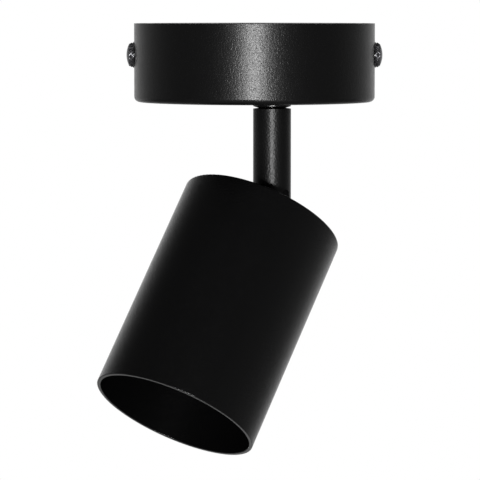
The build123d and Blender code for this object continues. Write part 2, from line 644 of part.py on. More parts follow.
# Lampholder bracket: a strap bent into a C under the cap
bracket_half = HOLDER_BRACKET_LENGTH / 2
bracket_leg = bracket_half - HOLDER_BRACKET_THICKNESS
flange_end = bracket_half - HOLDER_BRACKET_FLANGE
with BuildPart() as lampholder_bracket:
    with BuildSketch(side_plane(HEAD, 0)):
        with Locations((0, cap_inner)):
            Rectangle(HOLDER_BRACKET_LENGTH, HOLDER_BRACKET_DEPTH, align=(Align.CENTER, Align.MAX))
        with Locations((0, holder_base)):
            inside_depth = HOLDER_BRACKET_DEPTH - 2 * HOLDER_BRACKET_THICKNESS
            Rectangle(2 * bracket_leg, inside_depth, align=(Align.CENTER, Align.MAX), mode=Mode.SUBTRACT)
        with Locations((0, cover_top)):
            Rectangle(
                2 * flange_end,
                HOLDER_BRACKET_DEPTH / 2,
                align=(Align.CENTER, Align.MIN),
                mode=Mode.SUBTRACT,
            )
    extrude(amount=HOLDER_BRACKET_WIDTH / 2, both=True)
    with BuildSketch(HEAD.offset(cap_inner)):
        Circle(GROMMET_FLANGE_DIAMETER / 2 + FIXED_CLEARANCE)
        with GridLocations(0, YOKE_SCREW_SPACING, 1, 2):
            Circle(small_hole_radius)
    extrude(amount=-HOLDER_BRACKET_THICKNESS, mode=Mode.SUBTRACT)
    with BuildSketch(HEAD.offset(cover_top)):
        with GridLocations(0, HOLDER_SCREW_SPACING, 1, 2):
            Circle(small_hole_radius)
    extrude(amount=HOLDER_BRACKET_THICKNESS, mode=Mode.SUBTRACT)

# Screws that clamp the yoke, the cap and the bracket together, over an earth lug and a lock washer
yoke_screw_y = YOKE_SCREW_SPACING / 2
head_lug_origin = HEAD.from_local_coords((0, -yoke_screw_y, holder_base))
head_lug_plane = Plane(origin=head_lug_origin, x_dir=HEAD.x_dir, z_dir=-HEAD.z_dir)
head_earth_lug = make_lug(head_lug_plane, SMALL_SCREW_DIAMETER)

with BuildPart() as lock_washer:
    with BuildSketch(HEAD.offset(holder_base)):
        with Locations((0, yoke_screw_y)):
            Circle(LOCK_WASHER_DIAMETER / 2)
            Circle(small_hole_radius, mode=Mode.SUBTRACT)
    extrude(amount=-LUG_THICKNESS)

yoke_screw_length = LUG_THICKNESS + HOLDER_BRACKET_THICKNESS + HEAD_WALL + YOKE_THICKNESS
yoke_screws = []
for screw_y in (-yoke_screw_y, yoke_screw_y):
    seat_origin = HEAD.from_local_coords((0, screw_y, holder_base - LUG_THICKNESS))
    seat = Plane(origin=seat_origin, x_dir=HEAD.x_dir, z_dir=-HEAD.z_dir)
    yoke_screw = make_pan_screw(
        seat, SMALL_SCREW_DIAMETER, yoke_screw_length, SMALL_HEAD_DIAMETER, SMALL_HEAD_HEIGHT
    )
    yoke_screws.append(yoke_screw)

# Lampholder: a ceramic cover, a ceramic body with two twist-lock holes, contacts and screws
wire_hole_radius = wire_radius + RUNNING_CLEARANCE
with BuildPart() as lampholder_cover:
    with BuildSketch(HEAD.offset(cover_top)):
        RectangleRounded(HOLDER_WIDTH, HOLDER_LENGTH, HOLDER_CORNER_RADIUS)
        with GridLocations(0, LAMP_PIN_SPACING, 1, 2):
            Circle(wire_hole_radius, mode=Mode.SUBTRACT)
        with GridLocations(0, HOLDER_SCREW_SPACING, 1, 2):
            Circle(small_hole_radius, mode=Mode.SUBTRACT)
    extrude(amount=-HOLDER_COVER_HEIGHT)

pin_orbit = LAMP_PIN_SPACING / 2
twist_arcs = [CenterArc((0, 0), pin_orbit, start, LAMP_PIN_TWIST) for start in LAMP_PIN_BEARINGS]
with BuildPart() as lampholder_body:
    with BuildSketch(HEAD.offset(body_top)):
        RectangleRounded(HOLDER_WIDTH, HOLDER_LENGTH, HOLDER_CORNER_RADIUS)
        with GridLocations(0, LAMP_PIN_SPACING, 1, 2):
            Circle(LAMP_PIN_HOLE / 2, mode=Mode.SUBTRACT)
        for twist_arc in twist_arcs:
            SlotArc(twist_arc, LAMP_PIN_SLOT, mode=Mode.SUBTRACT)
        with GridLocations(0, HOLDER_SCREW_SPACING, 1, 2):
            Circle(small_hole_radius, mode=Mode.SUBTRACT)
    extrude(amount=-HOLDER_BODY_HEIGHT)
    with BuildSketch(HEAD.offset(body_bottom)):
        with GridLocations(0, HOLDER_SCREW_SPACING, 1, 2):
            Circle(small_head_radius + RUNNING_CLEARANCE)
    extrude(amount=HOLDER_SCREW_RECESS, mode=Mode.SUBTRACT)

with BuildPart() as lampholder_contacts:
    with BuildSketch(HEAD.offset(body_top)):
        with GridLocations(0, LAMP_PIN_SPACING, 1, 2):
            Circle(LAMP_PIN_HOLE / 2 - RUNNING_CLEARANCE)
    extrude(amount=-CONTACT_THICKNESS)

holder_screw_seat = body_bottom + HOLDER_SCREW_RECESS
holder_screw_length = cover_top + HOLDER_BRACKET_THICKNESS + HOLDER_SCREW_PAST_FLANGE - holder_screw_seat
lampholder_screws = []
for screw_y in (-HOLDER_SCREW_SPACING / 2, HOLDER_SCREW_SPACING / 2):
    seat_origin = HEAD.from_local_coords((0, screw_y, holder_screw_seat))
    seat = Plane(origin=seat_origin, x_dir=HEAD.x_dir, z_dir=-HEAD.z_dir)
    holder_screw = make_pan_screw(
        seat, SMALL_SCREW_DIAMETER, holder_screw_length, SMALL_HEAD_DIAMETER, SMALL_HEAD_HEIGHT
    )
    lampholder_screws.append(holder_screw)

# Sleeved lead down the stem, and its bend through the hinge into the head
lead_break = pivot_level + HINGE_LEAD_REACH
lead_end = cap_inner - GROMMET_FLANGE_THICKNESS
with BuildPart() as stem_lead:
    with BuildSketch(stem_level(lead_break)):
        Circle(lead_radius)
    extrude(amount=lead_top - lead_break)

with BuildPart() as hinge_lead:
    with BuildLine() as hinge_route:
        FilletPolyline(
            STEM.from_local_coords((0, 0, HINGE_LEAD_REACH)),
            pivot_point,
            HEAD.from_local_coords((0, 0, lead_end)),
            radius=HINGE_LEAD_BEND,
        )
    with BuildSketch(Plane(origin=hinge_route.line @ 0, z_dir=hinge_route.line % 0)):
        Circle(lead_radius)
    sweep(path=hinge_route.line)

# Wires in the canopy, from the lead's end to the terminals
clamp_mouth = clamp_start + clamp_length
wire_end_x = clamp_mouth - WIRE_IN_CLAMP
wire_turn_x = (clamp_mouth + STEM_OFFSET_X) / 2
canopy_wires = {}
for wire_name, place, pole_side in (("live", 150, 1), ("neutral", 270, -1)):
    offset_x, offset_y = wire_place(place)
    start = (STEM_OFFSET_X + offset_x, STEM_OFFSET_Y + offset_y)
    pole_y = pole_side * TERMINAL_POLE_PITCH / 2
    canopy_wires[wire_name] = make_wire(
        [
            (*start, lead_top),
            (*start, clamp_level),
            (wire_turn_x, pole_y, clamp_level),
            (wire_end_x, pole_y, clamp_level),
        ],
        CANOPY_WIRE_BEND,
    )
earth_end = lug_wire_end(earth_lug_plane, EARTH_SCREW_DIAMETER, LUG_BARREL_LENGTH - WIRE_IN_LUG)
earth_wire = make_wire(
    [
        (*earth_start, lead_top),
        (*earth_start, earth_end.Z),
        earth_end,
    ],
    CANOPY_WIRE_BEND,
)

# Wires in the head, from the lead's end to the lampholder and the earth lug
wire_step = lead_end - HEAD_WIRE_BEND
head_wires = {}
for wire_name, place, pin_side in (("live", 90, 1), ("neutral", 210, -1)):
    offset_x, offset_y = wire_place(place)
    head_wires[wire_name] = make_wire(
        [
            HEAD.from_local_coords((offset_x, offset_y, lead_end)),
            HEAD.from_local_coords((offset_x, offset_y, wire_step)),
            HEAD.from_local_coords((0, pin_side * pin_orbit, cover_top + HEAD_WIRE_BEND)),
            HEAD.from_local_coords((0, pin_side * pin_orbit, body_top)),
        ],
        HEAD_WIRE_BEND,
    )
earth_x, earth_y = wire_place(330)
earth_step = (lead_end + cover_top) / 2
earth_turn_x = 2 * LUG_BARREL_LENGTH
head_lug_end = lug_wire_end(head_lug_plane, SMALL_SCREW_DIAMETER, LUG_BARREL_LENGTH - WIRE_IN_LUG)
head_earth_wire = make_wire(
    [
        HEAD.from_local_coords((earth_x, earth_y, lead_end)),
        HEAD.from_local_coords((earth_x, earth_y, earth_step)),
        HEAD.from_local_coords((earth_turn_x, earth_y, earth_step)),
        HEAD.from_local_coords((earth_turn_x, -yoke_screw_y, HEAD.to_local_coords(head_lug_end).Z)),
        head_lug_end,
    ],
    HEAD_WIRE_BEND,
)

# One STEP file for each piece
pieces = {
    "canopy_cup": canopy_cup.part,
    "mounting_bracket": mounting_bracket.part,
    "left_thumb_stud": thumb_studs["left"],
    "right_thumb_stud": thumb_studs["right"],
    "left_thumb_knob": thumb_knobs["left"],
    "right_thumb_knob": thumb_knobs["right"],
    "terminal_block": terminal_block.part,
    "terminal_clamps": terminal_clamps.part,
    "terminal_screws": terminal_screws.part,
    "terminal_fixing_screw": terminal_fixing_screw,
    "earth_lug": earth_lug,
    "earth_screw": earth_screw,
    "live_wire": canopy_wires["live"],
    "neutral_wire": canopy_wires["neutral"],
    "earth_wire": earth_wire,
    "swivel_collar": swivel_collar.part,
    "fibre_washer": fibre_washer.part,
    "stop_pin": stop_pin.part,
    "stop_washer": stop_washer.part,
    "disc_spring": disc_spring.part,
    "swivel_nut": swivel_nut,
    "jam_nut": jam_nut,
    "swivel_nipple": swivel_nipple.part,
    "stem_tube": stem_tube.part,
    "stem_lead": stem_lead.part,
    "hinge_lead": hinge_lead.part,
    "hinge_yoke": hinge_yoke.part,
    "pivot_pin": pivot_pin.part,
    "tilt_washers": tilt_washers.part,
    "tilt_spring_washer": tilt_spring_washer.part,
    "tilt_screw": tilt_screw,
    "head_shell": head_shell.part,
    "cable_grommet": cable_grommet.part,
    "lampholder_bracket": lampholder_bracket.part,
    "head_earth_lug": head_earth_lug,
    "lock_washer": lock_washer.part,
    "yoke_screws": Compound(children=yoke_screws),
    "lampholder_cover": lampholder_cover.part,
    "lampholder_body": lampholder_body.part,
    "lampholder_contacts": lampholder_contacts.part,
    "lampholder_screws": Compound(children=lampholder_screws),
    "head_live_wire": head_wires["live"],
    "head_neutral_wire": head_wires["neutral"],
    "head_earth_wire": head_earth_wire,
}
os.makedirs("parts", exist_ok=True)
for piece_name, piece in pieces.items():
    piece.label = piece_name
    export_step(piece, f"parts/{piece_name}.step")
print(len(pieces), "pieces written")
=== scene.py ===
# %% [markdown]
# # A black ceiling spotlight
# A round cup fixed to the ceiling by two knurled thumb screws carries an off-centre stem, and a plain
# cylinder head tilts on the stem's end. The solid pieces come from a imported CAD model, in metres, with
# the origin at the middle of the ceiling face. This lesson gives each of them a finish, replaces the
# pieces whose small forms the CAD model only hints at, and lights the whole as a small studio would.

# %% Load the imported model
import math

import bmesh
import bpy
from mathutils import Matrix, Vector


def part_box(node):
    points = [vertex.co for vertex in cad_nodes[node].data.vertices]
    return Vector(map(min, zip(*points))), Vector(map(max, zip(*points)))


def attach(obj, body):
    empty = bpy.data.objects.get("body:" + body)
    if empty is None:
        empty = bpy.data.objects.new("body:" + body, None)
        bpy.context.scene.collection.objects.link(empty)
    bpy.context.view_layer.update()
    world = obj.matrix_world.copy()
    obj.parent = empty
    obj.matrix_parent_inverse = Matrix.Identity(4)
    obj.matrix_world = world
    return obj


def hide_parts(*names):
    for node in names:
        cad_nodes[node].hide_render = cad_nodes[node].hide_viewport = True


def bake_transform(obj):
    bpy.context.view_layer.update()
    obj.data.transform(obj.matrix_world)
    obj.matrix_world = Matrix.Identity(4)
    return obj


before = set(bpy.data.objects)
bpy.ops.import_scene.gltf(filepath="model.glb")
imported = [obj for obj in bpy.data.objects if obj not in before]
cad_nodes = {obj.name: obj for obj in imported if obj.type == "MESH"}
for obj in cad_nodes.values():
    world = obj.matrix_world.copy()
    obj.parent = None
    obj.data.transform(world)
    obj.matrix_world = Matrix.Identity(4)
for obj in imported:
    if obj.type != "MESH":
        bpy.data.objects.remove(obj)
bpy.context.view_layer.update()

# %% [markdown]
# Every finish and every Geometry Nodes tree below is a graph of nodes. Writing each link by hand gets
# long, so one small function adds any kind of node, sets its options, and either fills in or links its
# inputs. Another one turns the sRGB colours that we read off a screen into the linear values that shaders
# work in.

# %% Helpers for node graphs
MM = 0.001
# A Mix node keeps a pair of inputs for each kind of value. These are the places of its colours.
FIRST_COLOUR = 6
SECOND_COLOUR = 7
MIXED_COLOUR = 2


def linear(colour):
    """An sRGB hex colour as linear red, green, blue and alpha."""
    parts = [int(colour[start:start + 2], 16) / 255 for start in (1, 3, 5)]
    return [p / 12.92 if p <= 0.04045 else ((p + 0.055) / 1.055) ** 2.4 for p in parts] + [1.0]


def set_inputs(tree, node, inputs):
    """Fills in or links a node's inputs. A node given as a value stands for its first output."""
    for name, value in inputs.items():
        if isinstance(value, bpy.types.Node):
            value = value.outputs[0]
        if isinstance(value, bpy.types.NodeSocket):
            tree.links.new(value, node.inputs[name])
        else:
            node.inputs[name].default_value = value


def add_node(tree, kind, inputs=None, **settings):
    """Adds a node with its settings and its inputs."""
    node = tree.nodes.new(kind)
    for name, value in settings.items():
        setattr(node, name, value)
    set_inputs(tree, node, inputs or {})
    return node


finishes = {}


def start_finish(name):
    """A new material: its tree, its surface shader, and the place on the piece in metres."""
    finishes[name] = bpy.data.materials.new(name)
    finishes[name].use_nodes = True
    tree = finishes[name].node_tree
    place = add_node(tree, "ShaderNodeTexCoord").outputs["Object"]
    return tree, tree.nodes["Principled BSDF"], place


print("helpers ready")

# %% [markdown]
# The cup, the stem and the head are steel with a black polyester powder coat. The powder melts and flows
# in the oven, which leaves two textures: a fine grain of about half a millimetre that makes highlights
# sparkle, and a slow waviness of a few millimetres. Both are noise on the piece's own coordinates, so no
# unwrapping is needed. The slopes of the grain and the paint's own roughness spread a lamp's reflection
# into a soft streak. The same recipe is used three times: the cup's grain is warped, so that its streak
# is evenly speckled, the head is a little glossier, and the thin coat on the stem is duller, with a
# smoother grain of fewer octaves.

# %% Black powder coat
COAT_WAVE = 2.6 * MM
WAVE_HEIGHT = 0.004 * MM
COAT_GLOSS_SPREAD = 0.03


def powder_coat(name, roughness, grain_size, grain_height, grain_detail, grain_warp):
    """Sprayed and baked black polyester: dark, satin, with a fine grain."""
    tree, shader, place = start_finish(name)
    grain = add_node(tree, "ShaderNodeTexNoise", {
        "Vector": place,
        "Scale": 1 / grain_size,
        "Detail": grain_detail,
        "Distortion": grain_warp,
    })
    wave = add_node(tree, "ShaderNodeTexNoise", {"Vector": place, "Scale": 1 / COAT_WAVE, "Detail": 1.0})
    waviness = add_node(tree, "ShaderNodeBump", {"Distance": WAVE_HEIGHT, "Height": wave})
    grain_on_waves = {"Distance": grain_height, "Height": grain, "Normal": waviness}
    tones = {0: grain, FIRST_COLOUR: linear("#070707"), SECOND_COLOUR: linear("#0c0c0d")}
    gloss_range = {
        "Value": wave,
        "To Min": roughness - COAT_GLOSS_SPREAD,
        "To Max": roughness + COAT_GLOSS_SPREAD,
    }
    set_inputs(tree, shader, {
        "Base Color": add_node(tree, "ShaderNodeMix", tones, data_type="RGBA").outputs[MIXED_COLOUR],
        "Roughness": add_node(tree, "ShaderNodeMapRange", gloss_range),
        "IOR": 1.5,
        "Normal": add_node(tree, "ShaderNodeBump", grain_on_waves),
    })


powder_coat("powder_coated_cup", roughness=0.31, grain_size=0.6 * MM, grain_height=0.06 * MM,
            grain_detail=2.0, grain_warp=1.0)
powder_coat("powder_coated_shell", roughness=0.24, grain_size=0.5 * MM, grain_height=0.1 * MM,
            grain_detail=3.0, grain_warp=0.0)
powder_coat("powder_coated_tube", roughness=0.39, grain_size=0.55 * MM, grain_height=0.08 * MM,
            grain_detail=0.5, grain_warp=0.0)
print("three powder coats made")

# %% [markdown]
# The thumb knobs are brass, knurled on a lathe and plated in black nickel. Plating follows every facet,
# so it is a dark metal with a satin shine, mottled by fine tool marks. The screws of the hinge and the
# stem's nipple are steel blackened in a hot bath, which is darker and slightly blotchy.

# %% Black metals
TOOL_MARK = 0.12 * MM
BATH_BLOTCH = 1.5 * MM

tree, shader, place = start_finish("black_nickel_plating")
# Real tool marks are a tenth of this, too fine to show, so they are drawn coarser.
marks = add_node(tree, "ShaderNodeTexNoise", {"Vector": place, "Scale": 1 / TOOL_MARK, "Detail": 1.0})
tones = {0: marks, FIRST_COLOUR: linear("#7d7d80"), SECOND_COLOUR: linear("#8e8e91")}
set_inputs(tree, shader, {
    "Base Color": add_node(tree, "ShaderNodeMix", tones, data_type="RGBA").outputs[MIXED_COLOUR],
    "Metallic": 1.0,
    "Roughness": add_node(tree, "ShaderNodeMapRange", {"Value": marks, "To Min": 0.34, "To Max": 0.42}),
    "Normal": add_node(tree, "ShaderNodeBump", {"Distance": 0.001 * MM, "Height": marks}),
})

tree, shader, place = start_finish("blackened_steel")
blotch = add_node(tree, "ShaderNodeTexNoise", {"Vector": place, "Scale": 1 / BATH_BLOTCH, "Detail": 4.0})
tones = {0: blotch, FIRST_COLOUR: linear("#1d1d1f"), SECOND_COLOUR: linear("#2e2d2d")}
set_inputs(tree, shader, {
    "Base Color": add_node(tree, "ShaderNodeMix", tones, data_type="RGBA").outputs[MIXED_COLOUR],
    "Metallic": 1.0,
    "Roughness": add_node(tree, "ShaderNodeMapRange", {"Value": blotch, "To Min": 0.3, "To Max": 0.5}),
})
print("black metals ready")

# %% [markdown]
# Inside the cup and the head are small plated parts. Zinc on rolled strip keeps the lines of the rolling
# mill, so its noise is stretched along the strip, and the thin passivation film tints it slightly blue
# and yellow. Tin is whiter and softer. Brass from the lathe carries fine rings round its axis.

# %% Plated steel, tin and brass
ROLLING_LINE = 0.25 * MM
STRIP_STRETCH = 0.04
FILM_CLOUD = 6 * MM
TIN_CRYSTAL = 1.2 * MM
WAVE_RADIANS = 20

tree, shader, place = start_finish("zinc_plated_steel")
strip = add_node(tree, "ShaderNodeMapping", {"Vector": place, "Scale": (STRIP_STRETCH, 1.0, 1.0)})
lines = add_node(tree, "ShaderNodeTexNoise", {"Vector": strip, "Scale": 1 / ROLLING_LINE, "Detail": 2.0})
cloud = add_node(tree, "ShaderNodeTexNoise", {"Vector": place, "Scale": 1 / FILM_CLOUD, "Detail": 2.0})
tones = {0: cloud, FIRST_COLOUR: linear("#b4bac4"), SECOND_COLOUR: linear("#c6c3b4")}
set_inputs(tree, shader, {
    "Base Color": add_node(tree, "ShaderNodeMix", tones, data_type="RGBA").outputs[MIXED_COLOUR],
    "Metallic": 1.0,
    "Roughness": add_node(tree, "ShaderNodeMapRange", {"Value": lines, "To Min": 0.26, "To Max": 0.44}),
    "Normal": add_node(tree, "ShaderNodeBump", {"Distance": 0.003 * MM, "Height": lines}),
})

tree, shader, place = start_finish("tinned_copper")
crystal = add_node(tree, "ShaderNodeTexVoronoi", {"Vector": place, "Scale": 1 / TIN_CRYSTAL})
tones = {0: crystal, FIRST_COLOUR: linear("#d3d2cc"), SECOND_COLOUR: linear("#bfbdb4")}
set_inputs(tree, shader, {
    "Base Color": add_node(tree, "ShaderNodeMix", tones, data_type="RGBA").outputs[MIXED_COLOUR],
    "Metallic": 1.0,
    "Roughness": add_node(tree, "ShaderNodeMapRange", {"Value": crystal, "To Min": 0.34, "To Max": 0.5}),
})

tree, shader, place = start_finish("turned_brass")
# A wave texture goes through 20 radians of its wave in one unit.
rings = add_node(tree, "ShaderNodeTexWave", {
    "Vector": place,
    "Scale": 1 / (WAVE_RADIANS * TOOL_MARK),
    "Distortion": 0.6,
}, bands_direction="Z").outputs["Fac"]
tarnish = add_node(tree, "ShaderNodeTexNoise", {"Vector": place, "Scale": 1 / FILM_CLOUD, "Detail": 3.0})
tones = {0: tarnish, FIRST_COLOUR: linear("#d2a85c"), SECOND_COLOUR: linear("#b58a45")}
set_inputs(tree, shader, {
    "Base Color": add_node(tree, "ShaderNodeMix", tones, data_type="RGBA").outputs[MIXED_COLOUR],
    "Metallic": 1.0,
    "Roughness": add_node(tree, "ShaderNodeMapRange", {"Value": rings, "To Min": 0.22, "To Max": 0.34}),
})
print("plated metals ready")

# %% [markdown]
# The terminal block is moulded white nylon, the hinge's washers are black nylon, and the grommet is
# rubber. All three come out of moulds with a fine spark-eroded texture.

# %% Moulded nylon and rubber
SPARK_TEXTURE = 0.3 * MM
GLOSS_SPREAD = 0.06

for name, dark, pale, roughness in (
    ("moulded_white_nylon", "#dcdacf", "#e8e6dc", 0.42),
    ("moulded_black_nylon", "#121213", "#1b1b1c", 0.48),
    ("moulded_black_rubber", "#101010", "#191918", 0.72),
):
    tree, shader, place = start_finish(name)
    sparks = {"Vector": place, "Scale": 1 / SPARK_TEXTURE, "Detail": 2.0}
    texture = add_node(tree, "ShaderNodeTexNoise", sparks)
    tones = {0: texture, FIRST_COLOUR: linear(dark), SECOND_COLOUR: linear(pale)}
    gloss_range = {"Value": texture, "To Min": roughness - GLOSS_SPREAD, "To Max": roughness + GLOSS_SPREAD}
    set_inputs(tree, shader, {
        "Base Color": add_node(tree, "ShaderNodeMix", tones, data_type="RGBA").outputs[MIXED_COLOUR],
        "Roughness": add_node(tree, "ShaderNodeMapRange", gloss_range),
        "IOR": 1.53,
        "Normal": add_node(tree, "ShaderNodeBump", {"Distance": 0.006 * MM, "Height": texture}),
    })
print("moulded plastics ready")

# %% [markdown]
# The lampholder is steatite, a pressed and fired ceramic with a chalky surface and small dark specks. The
# swivel turns on a washer of red vulcanised fibre, which is paper pulp pressed hard and shows its fibres.

# %% Steatite and vulcanised fibre
CERAMIC_GRAIN = 0.5 * MM
SPECK_SPACING = 2.0 * MM
PULP_FIBRE = 0.4 * MM
FIBRE_STRETCH = 0.15

tree, shader, place = start_finish("fired_steatite")
chalk = add_node(tree, "ShaderNodeTexNoise", {"Vector": place, "Scale": 1 / CERAMIC_GRAIN, "Detail": 4.0})
tones = {0: chalk, FIRST_COLOUR: linear("#d9d1bd"), SECOND_COLOUR: linear("#ebe5d6")}
body_colour = add_node(tree, "ShaderNodeMix", tones, data_type="RGBA").outputs[MIXED_COLOUR]
speck = add_node(tree, "ShaderNodeTexVoronoi", {"Vector": place, "Scale": 1 / SPECK_SPACING})
speck_mask = add_node(tree, "ShaderNodeMapRange", {"Value": speck, "From Min": 0.08, "From Max": 0.14})
specked = {0: speck_mask, FIRST_COLOUR: linear("#8f7f66"), SECOND_COLOUR: body_colour}
set_inputs(tree, shader, {
    "Base Color": add_node(tree, "ShaderNodeMix", specked, data_type="RGBA").outputs[MIXED_COLOUR],
    "Roughness": 0.68,
    "IOR": 1.58,
    "Normal": add_node(tree, "ShaderNodeBump", {"Distance": 0.015 * MM, "Height": chalk}),
})

tree, shader, place = start_finish("vulcanised_fibre")
laid = add_node(tree, "ShaderNodeMapping", {"Vector": place, "Scale": (FIBRE_STRETCH, 1.0, 1.0)})
pulp = add_node(tree, "ShaderNodeTexNoise", {"Vector": laid, "Scale": 1 / PULP_FIBRE, "Detail": 3.0})
tones = {0: pulp, FIRST_COLOUR: linear("#5c2319"), SECOND_COLOUR: linear("#7e3527")}
set_inputs(tree, shader, {
    "Base Color": add_node(tree, "ShaderNodeMix", tones, data_type="RGBA").outputs[MIXED_COLOUR],
    "Roughness": 0.62,
    "Normal": add_node(tree, "ShaderNodeBump", {"Distance": 0.01 * MM, "Height": pulp}),
})
print("ceramic and fibre ready")

# %% [markdown]
# Three silicone-insulated wires run in a braided sleeve of black glass fibre. Their patterns follow the
# wire, not the room, so they read the wire's own UV map: its first number is the length along the wire
# and its second the way round it, both in metres. The earth wire's yellow stripe winds slowly round its
# green.

# %% Wire insulation
WIRE_DIAMETER = 1.9 * MM
STRIPE_LEAD = 12 * MM
EXTRUSION_GRAIN = 0.6 * MM


def start_wire_finish(name):
    """A material whose pattern follows the wire: what start_finish gives, and the two UV numbers."""
    tree, shader, place = start_finish(name)
    uv = add_node(tree, "ShaderNodeUVMap", uv_map="UVMap")
    split = add_node(tree, "ShaderNodeSeparateXYZ", {"Vector": uv})
    return tree, shader, place, split.outputs["X"], split.outputs["Y"]


for name, base, stripe in (
    ("brown_silicone", "#5a3019", "#643820"),
    ("blue_silicone", "#1d4f9c", "#2459a8"),
    ("green_yellow_silicone", "#1f7a34", "#d9c21c"),
):
    tree, shader, place, along, around = start_wire_finish(name)
    turns = add_node(tree, "ShaderNodeMath", {0: around, 1: math.pi * WIRE_DIAMETER}, operation="DIVIDE")
    twist = add_node(tree, "ShaderNodeMath", {0: along, 1: STRIPE_LEAD}, operation="DIVIDE")
    winding = add_node(tree, "ShaderNodeMath", {0: turns, 1: twist}, operation="ADD")
    wave = add_node(tree, "ShaderNodeMath", {0: winding, 1: 0.5}, operation="PINGPONG")
    stripe_edge = add_node(tree, "ShaderNodeMapRange", {"Value": wave, "From Min": 0.28, "From Max": 0.3})
    tones = {0: stripe_edge, FIRST_COLOUR: linear(base), SECOND_COLOUR: linear(stripe)}
    grain = {"Vector": place, "Scale": 1 / EXTRUSION_GRAIN, "Detail": 1.0}
    extruded = add_node(tree, "ShaderNodeTexNoise", grain)
    set_inputs(tree, shader, {
        "Base Color": add_node(tree, "ShaderNodeMix", tones, data_type="RGBA").outputs[MIXED_COLOUR],
        "Roughness": 0.46,
        "IOR": 1.43,
        "Normal": add_node(tree, "ShaderNodeBump", {"Distance": 0.008 * MM, "Height": extruded}),
    })
print("three kinds of insulation ready")

# %% [markdown]
# The sleeve is a braid, two families of strands that cross. Modelled strands would take many faces for a
# piece that hides in the stem, so the braid is a bump. At each place the higher of the two strands gives
# the braid its height, and its colour is painted shade: lighter on the strand tops and darker in the low
# places between them.

# %% Braided sleeve
LEAD_DIAMETER = 4.5 * MM
BRAID_STRANDS = 16
STRAND_HEIGHT = 0.12 * MM

tree, shader, place, along, around = start_wire_finish("braided_glass_fibre")
tree.nodes.remove(place.node)
strand = math.pi * LEAD_DIAMETER / BRAID_STRANDS
families = []
for slant in ("ADD", "SUBTRACT"):
    slanted = add_node(tree, "ShaderNodeMath", {0: along, 1: around}, operation=slant)
    strands = add_node(tree, "ShaderNodeMath", {0: slanted, 1: strand}, operation="DIVIDE")
    families.append(add_node(tree, "ShaderNodeMath", {0: strands, 1: 0.5}, operation="PINGPONG"))
higher = add_node(tree, "ShaderNodeMath", dict(enumerate(families)), operation="MAXIMUM")
weave_height_and_painted_shade = add_node(tree, "ShaderNodeMath", {0: higher, 1: 2.0}, operation="MULTIPLY")
# Painted shade: the low places between strands are darker, the strand tops lighter.
tones = {0: weave_height_and_painted_shade, FIRST_COLOUR: linear("#161616"), SECOND_COLOUR: linear("#3d3c3a")}
set_inputs(tree, shader, {
    "Base Color": add_node(tree, "ShaderNodeMix", tones, data_type="RGBA").outputs[MIXED_COLOUR],
    "Roughness": 0.6,
    "Sheen Weight": 0.3,
    "Normal": add_node(tree, "ShaderNodeBump", {"Distance": STRAND_HEIGHT, "Height": weave_height_and_painted_shade}),
})
print(len(finishes), "finishes:", ", ".join(sorted(finishes)))

# %% [markdown]
# Pieces whose CAD shape is already right keep it, and only take a finish. Their meshes carry smooth
# normals from the CAD surfaces, so the curved shells shade without facets.

# %% Finish the CAD pieces
carried_over = {
    "powder_coated_cup": ["canopy_cup"],
    "powder_coated_shell": ["head_shell", "hinge_yoke", "swivel_collar", "mounting_bracket"],
    "powder_coated_tube": ["stem_tube"],
    "blackened_steel": ["pivot_pin", "tilt_screw", "tilt_spring_washer"],
    "zinc_plated_steel": [
        "terminal_screws", "terminal_fixing_screw", "earth_screw", "stop_pin", "stop_washer", "disc_spring",
        "swivel_nut", "jam_nut", "lampholder_bracket", "lock_washer", "yoke_screws", "lampholder_screws",
    ],
    "turned_brass": ["terminal_clamps"],
    "tinned_copper": ["earth_lug", "head_earth_lug", "lampholder_contacts"],
    "moulded_white_nylon": ["terminal_block"],
    "fired_steatite": ["lampholder_cover", "lampholder_body"],
    "vulcanised_fibre": ["fibre_washer"],
    "moulded_black_nylon": ["tilt_washers"],
    "moulded_black_rubber": ["cable_grommet"],
}
for finish, names in carried_over.items():
    for name in names:
        for material_slot in cad_nodes[name].material_slots:
            material_slot.material = finishes[finish]
print(sum(len(names) for names in carried_over.values()), "CAD pieces finished")

# %% [markdown]
# Knobs, studs and the hollow nipple are all turned on a lathe: a profile spins round an axis, and a tool
# then cuts grooves that wind round it. That is a rule, so Geometry Nodes can make them. A flat grid has
# one column for each step round the axis and one row for each corner of the profile. Each grid point
# looks up its row's radius and height.

# %% The lathe's grid and profile
lathe = bpy.data.node_groups.new("lathe", "GeometryNodeTree")
lathe.interface.new_socket("Profile", in_out="INPUT", socket_type="NodeSocketGeometry")
for socket_name, socket_type in (
    ("Steps", "NodeSocketInt"),
    ("Groove Starts", "NodeSocketInt"),
    ("Groove Pitch", "NodeSocketFloat"),
    ("Groove Depth", "NodeSocketFloat"),
    ("Groove Radius", "NodeSocketFloat"),
    ("Groove Land", "NodeSocketFloat"),
    ("Groove Floor", "NodeSocketFloat"),
    ("Crossed", "NodeSocketFloat"),
    ("Finish", "NodeSocketMaterial"),
):
    lathe.interface.new_socket(socket_name, in_out="INPUT", socket_type=socket_type)
lathe.interface.new_socket("Turned", in_out="OUTPUT", socket_type="NodeSocketGeometry")

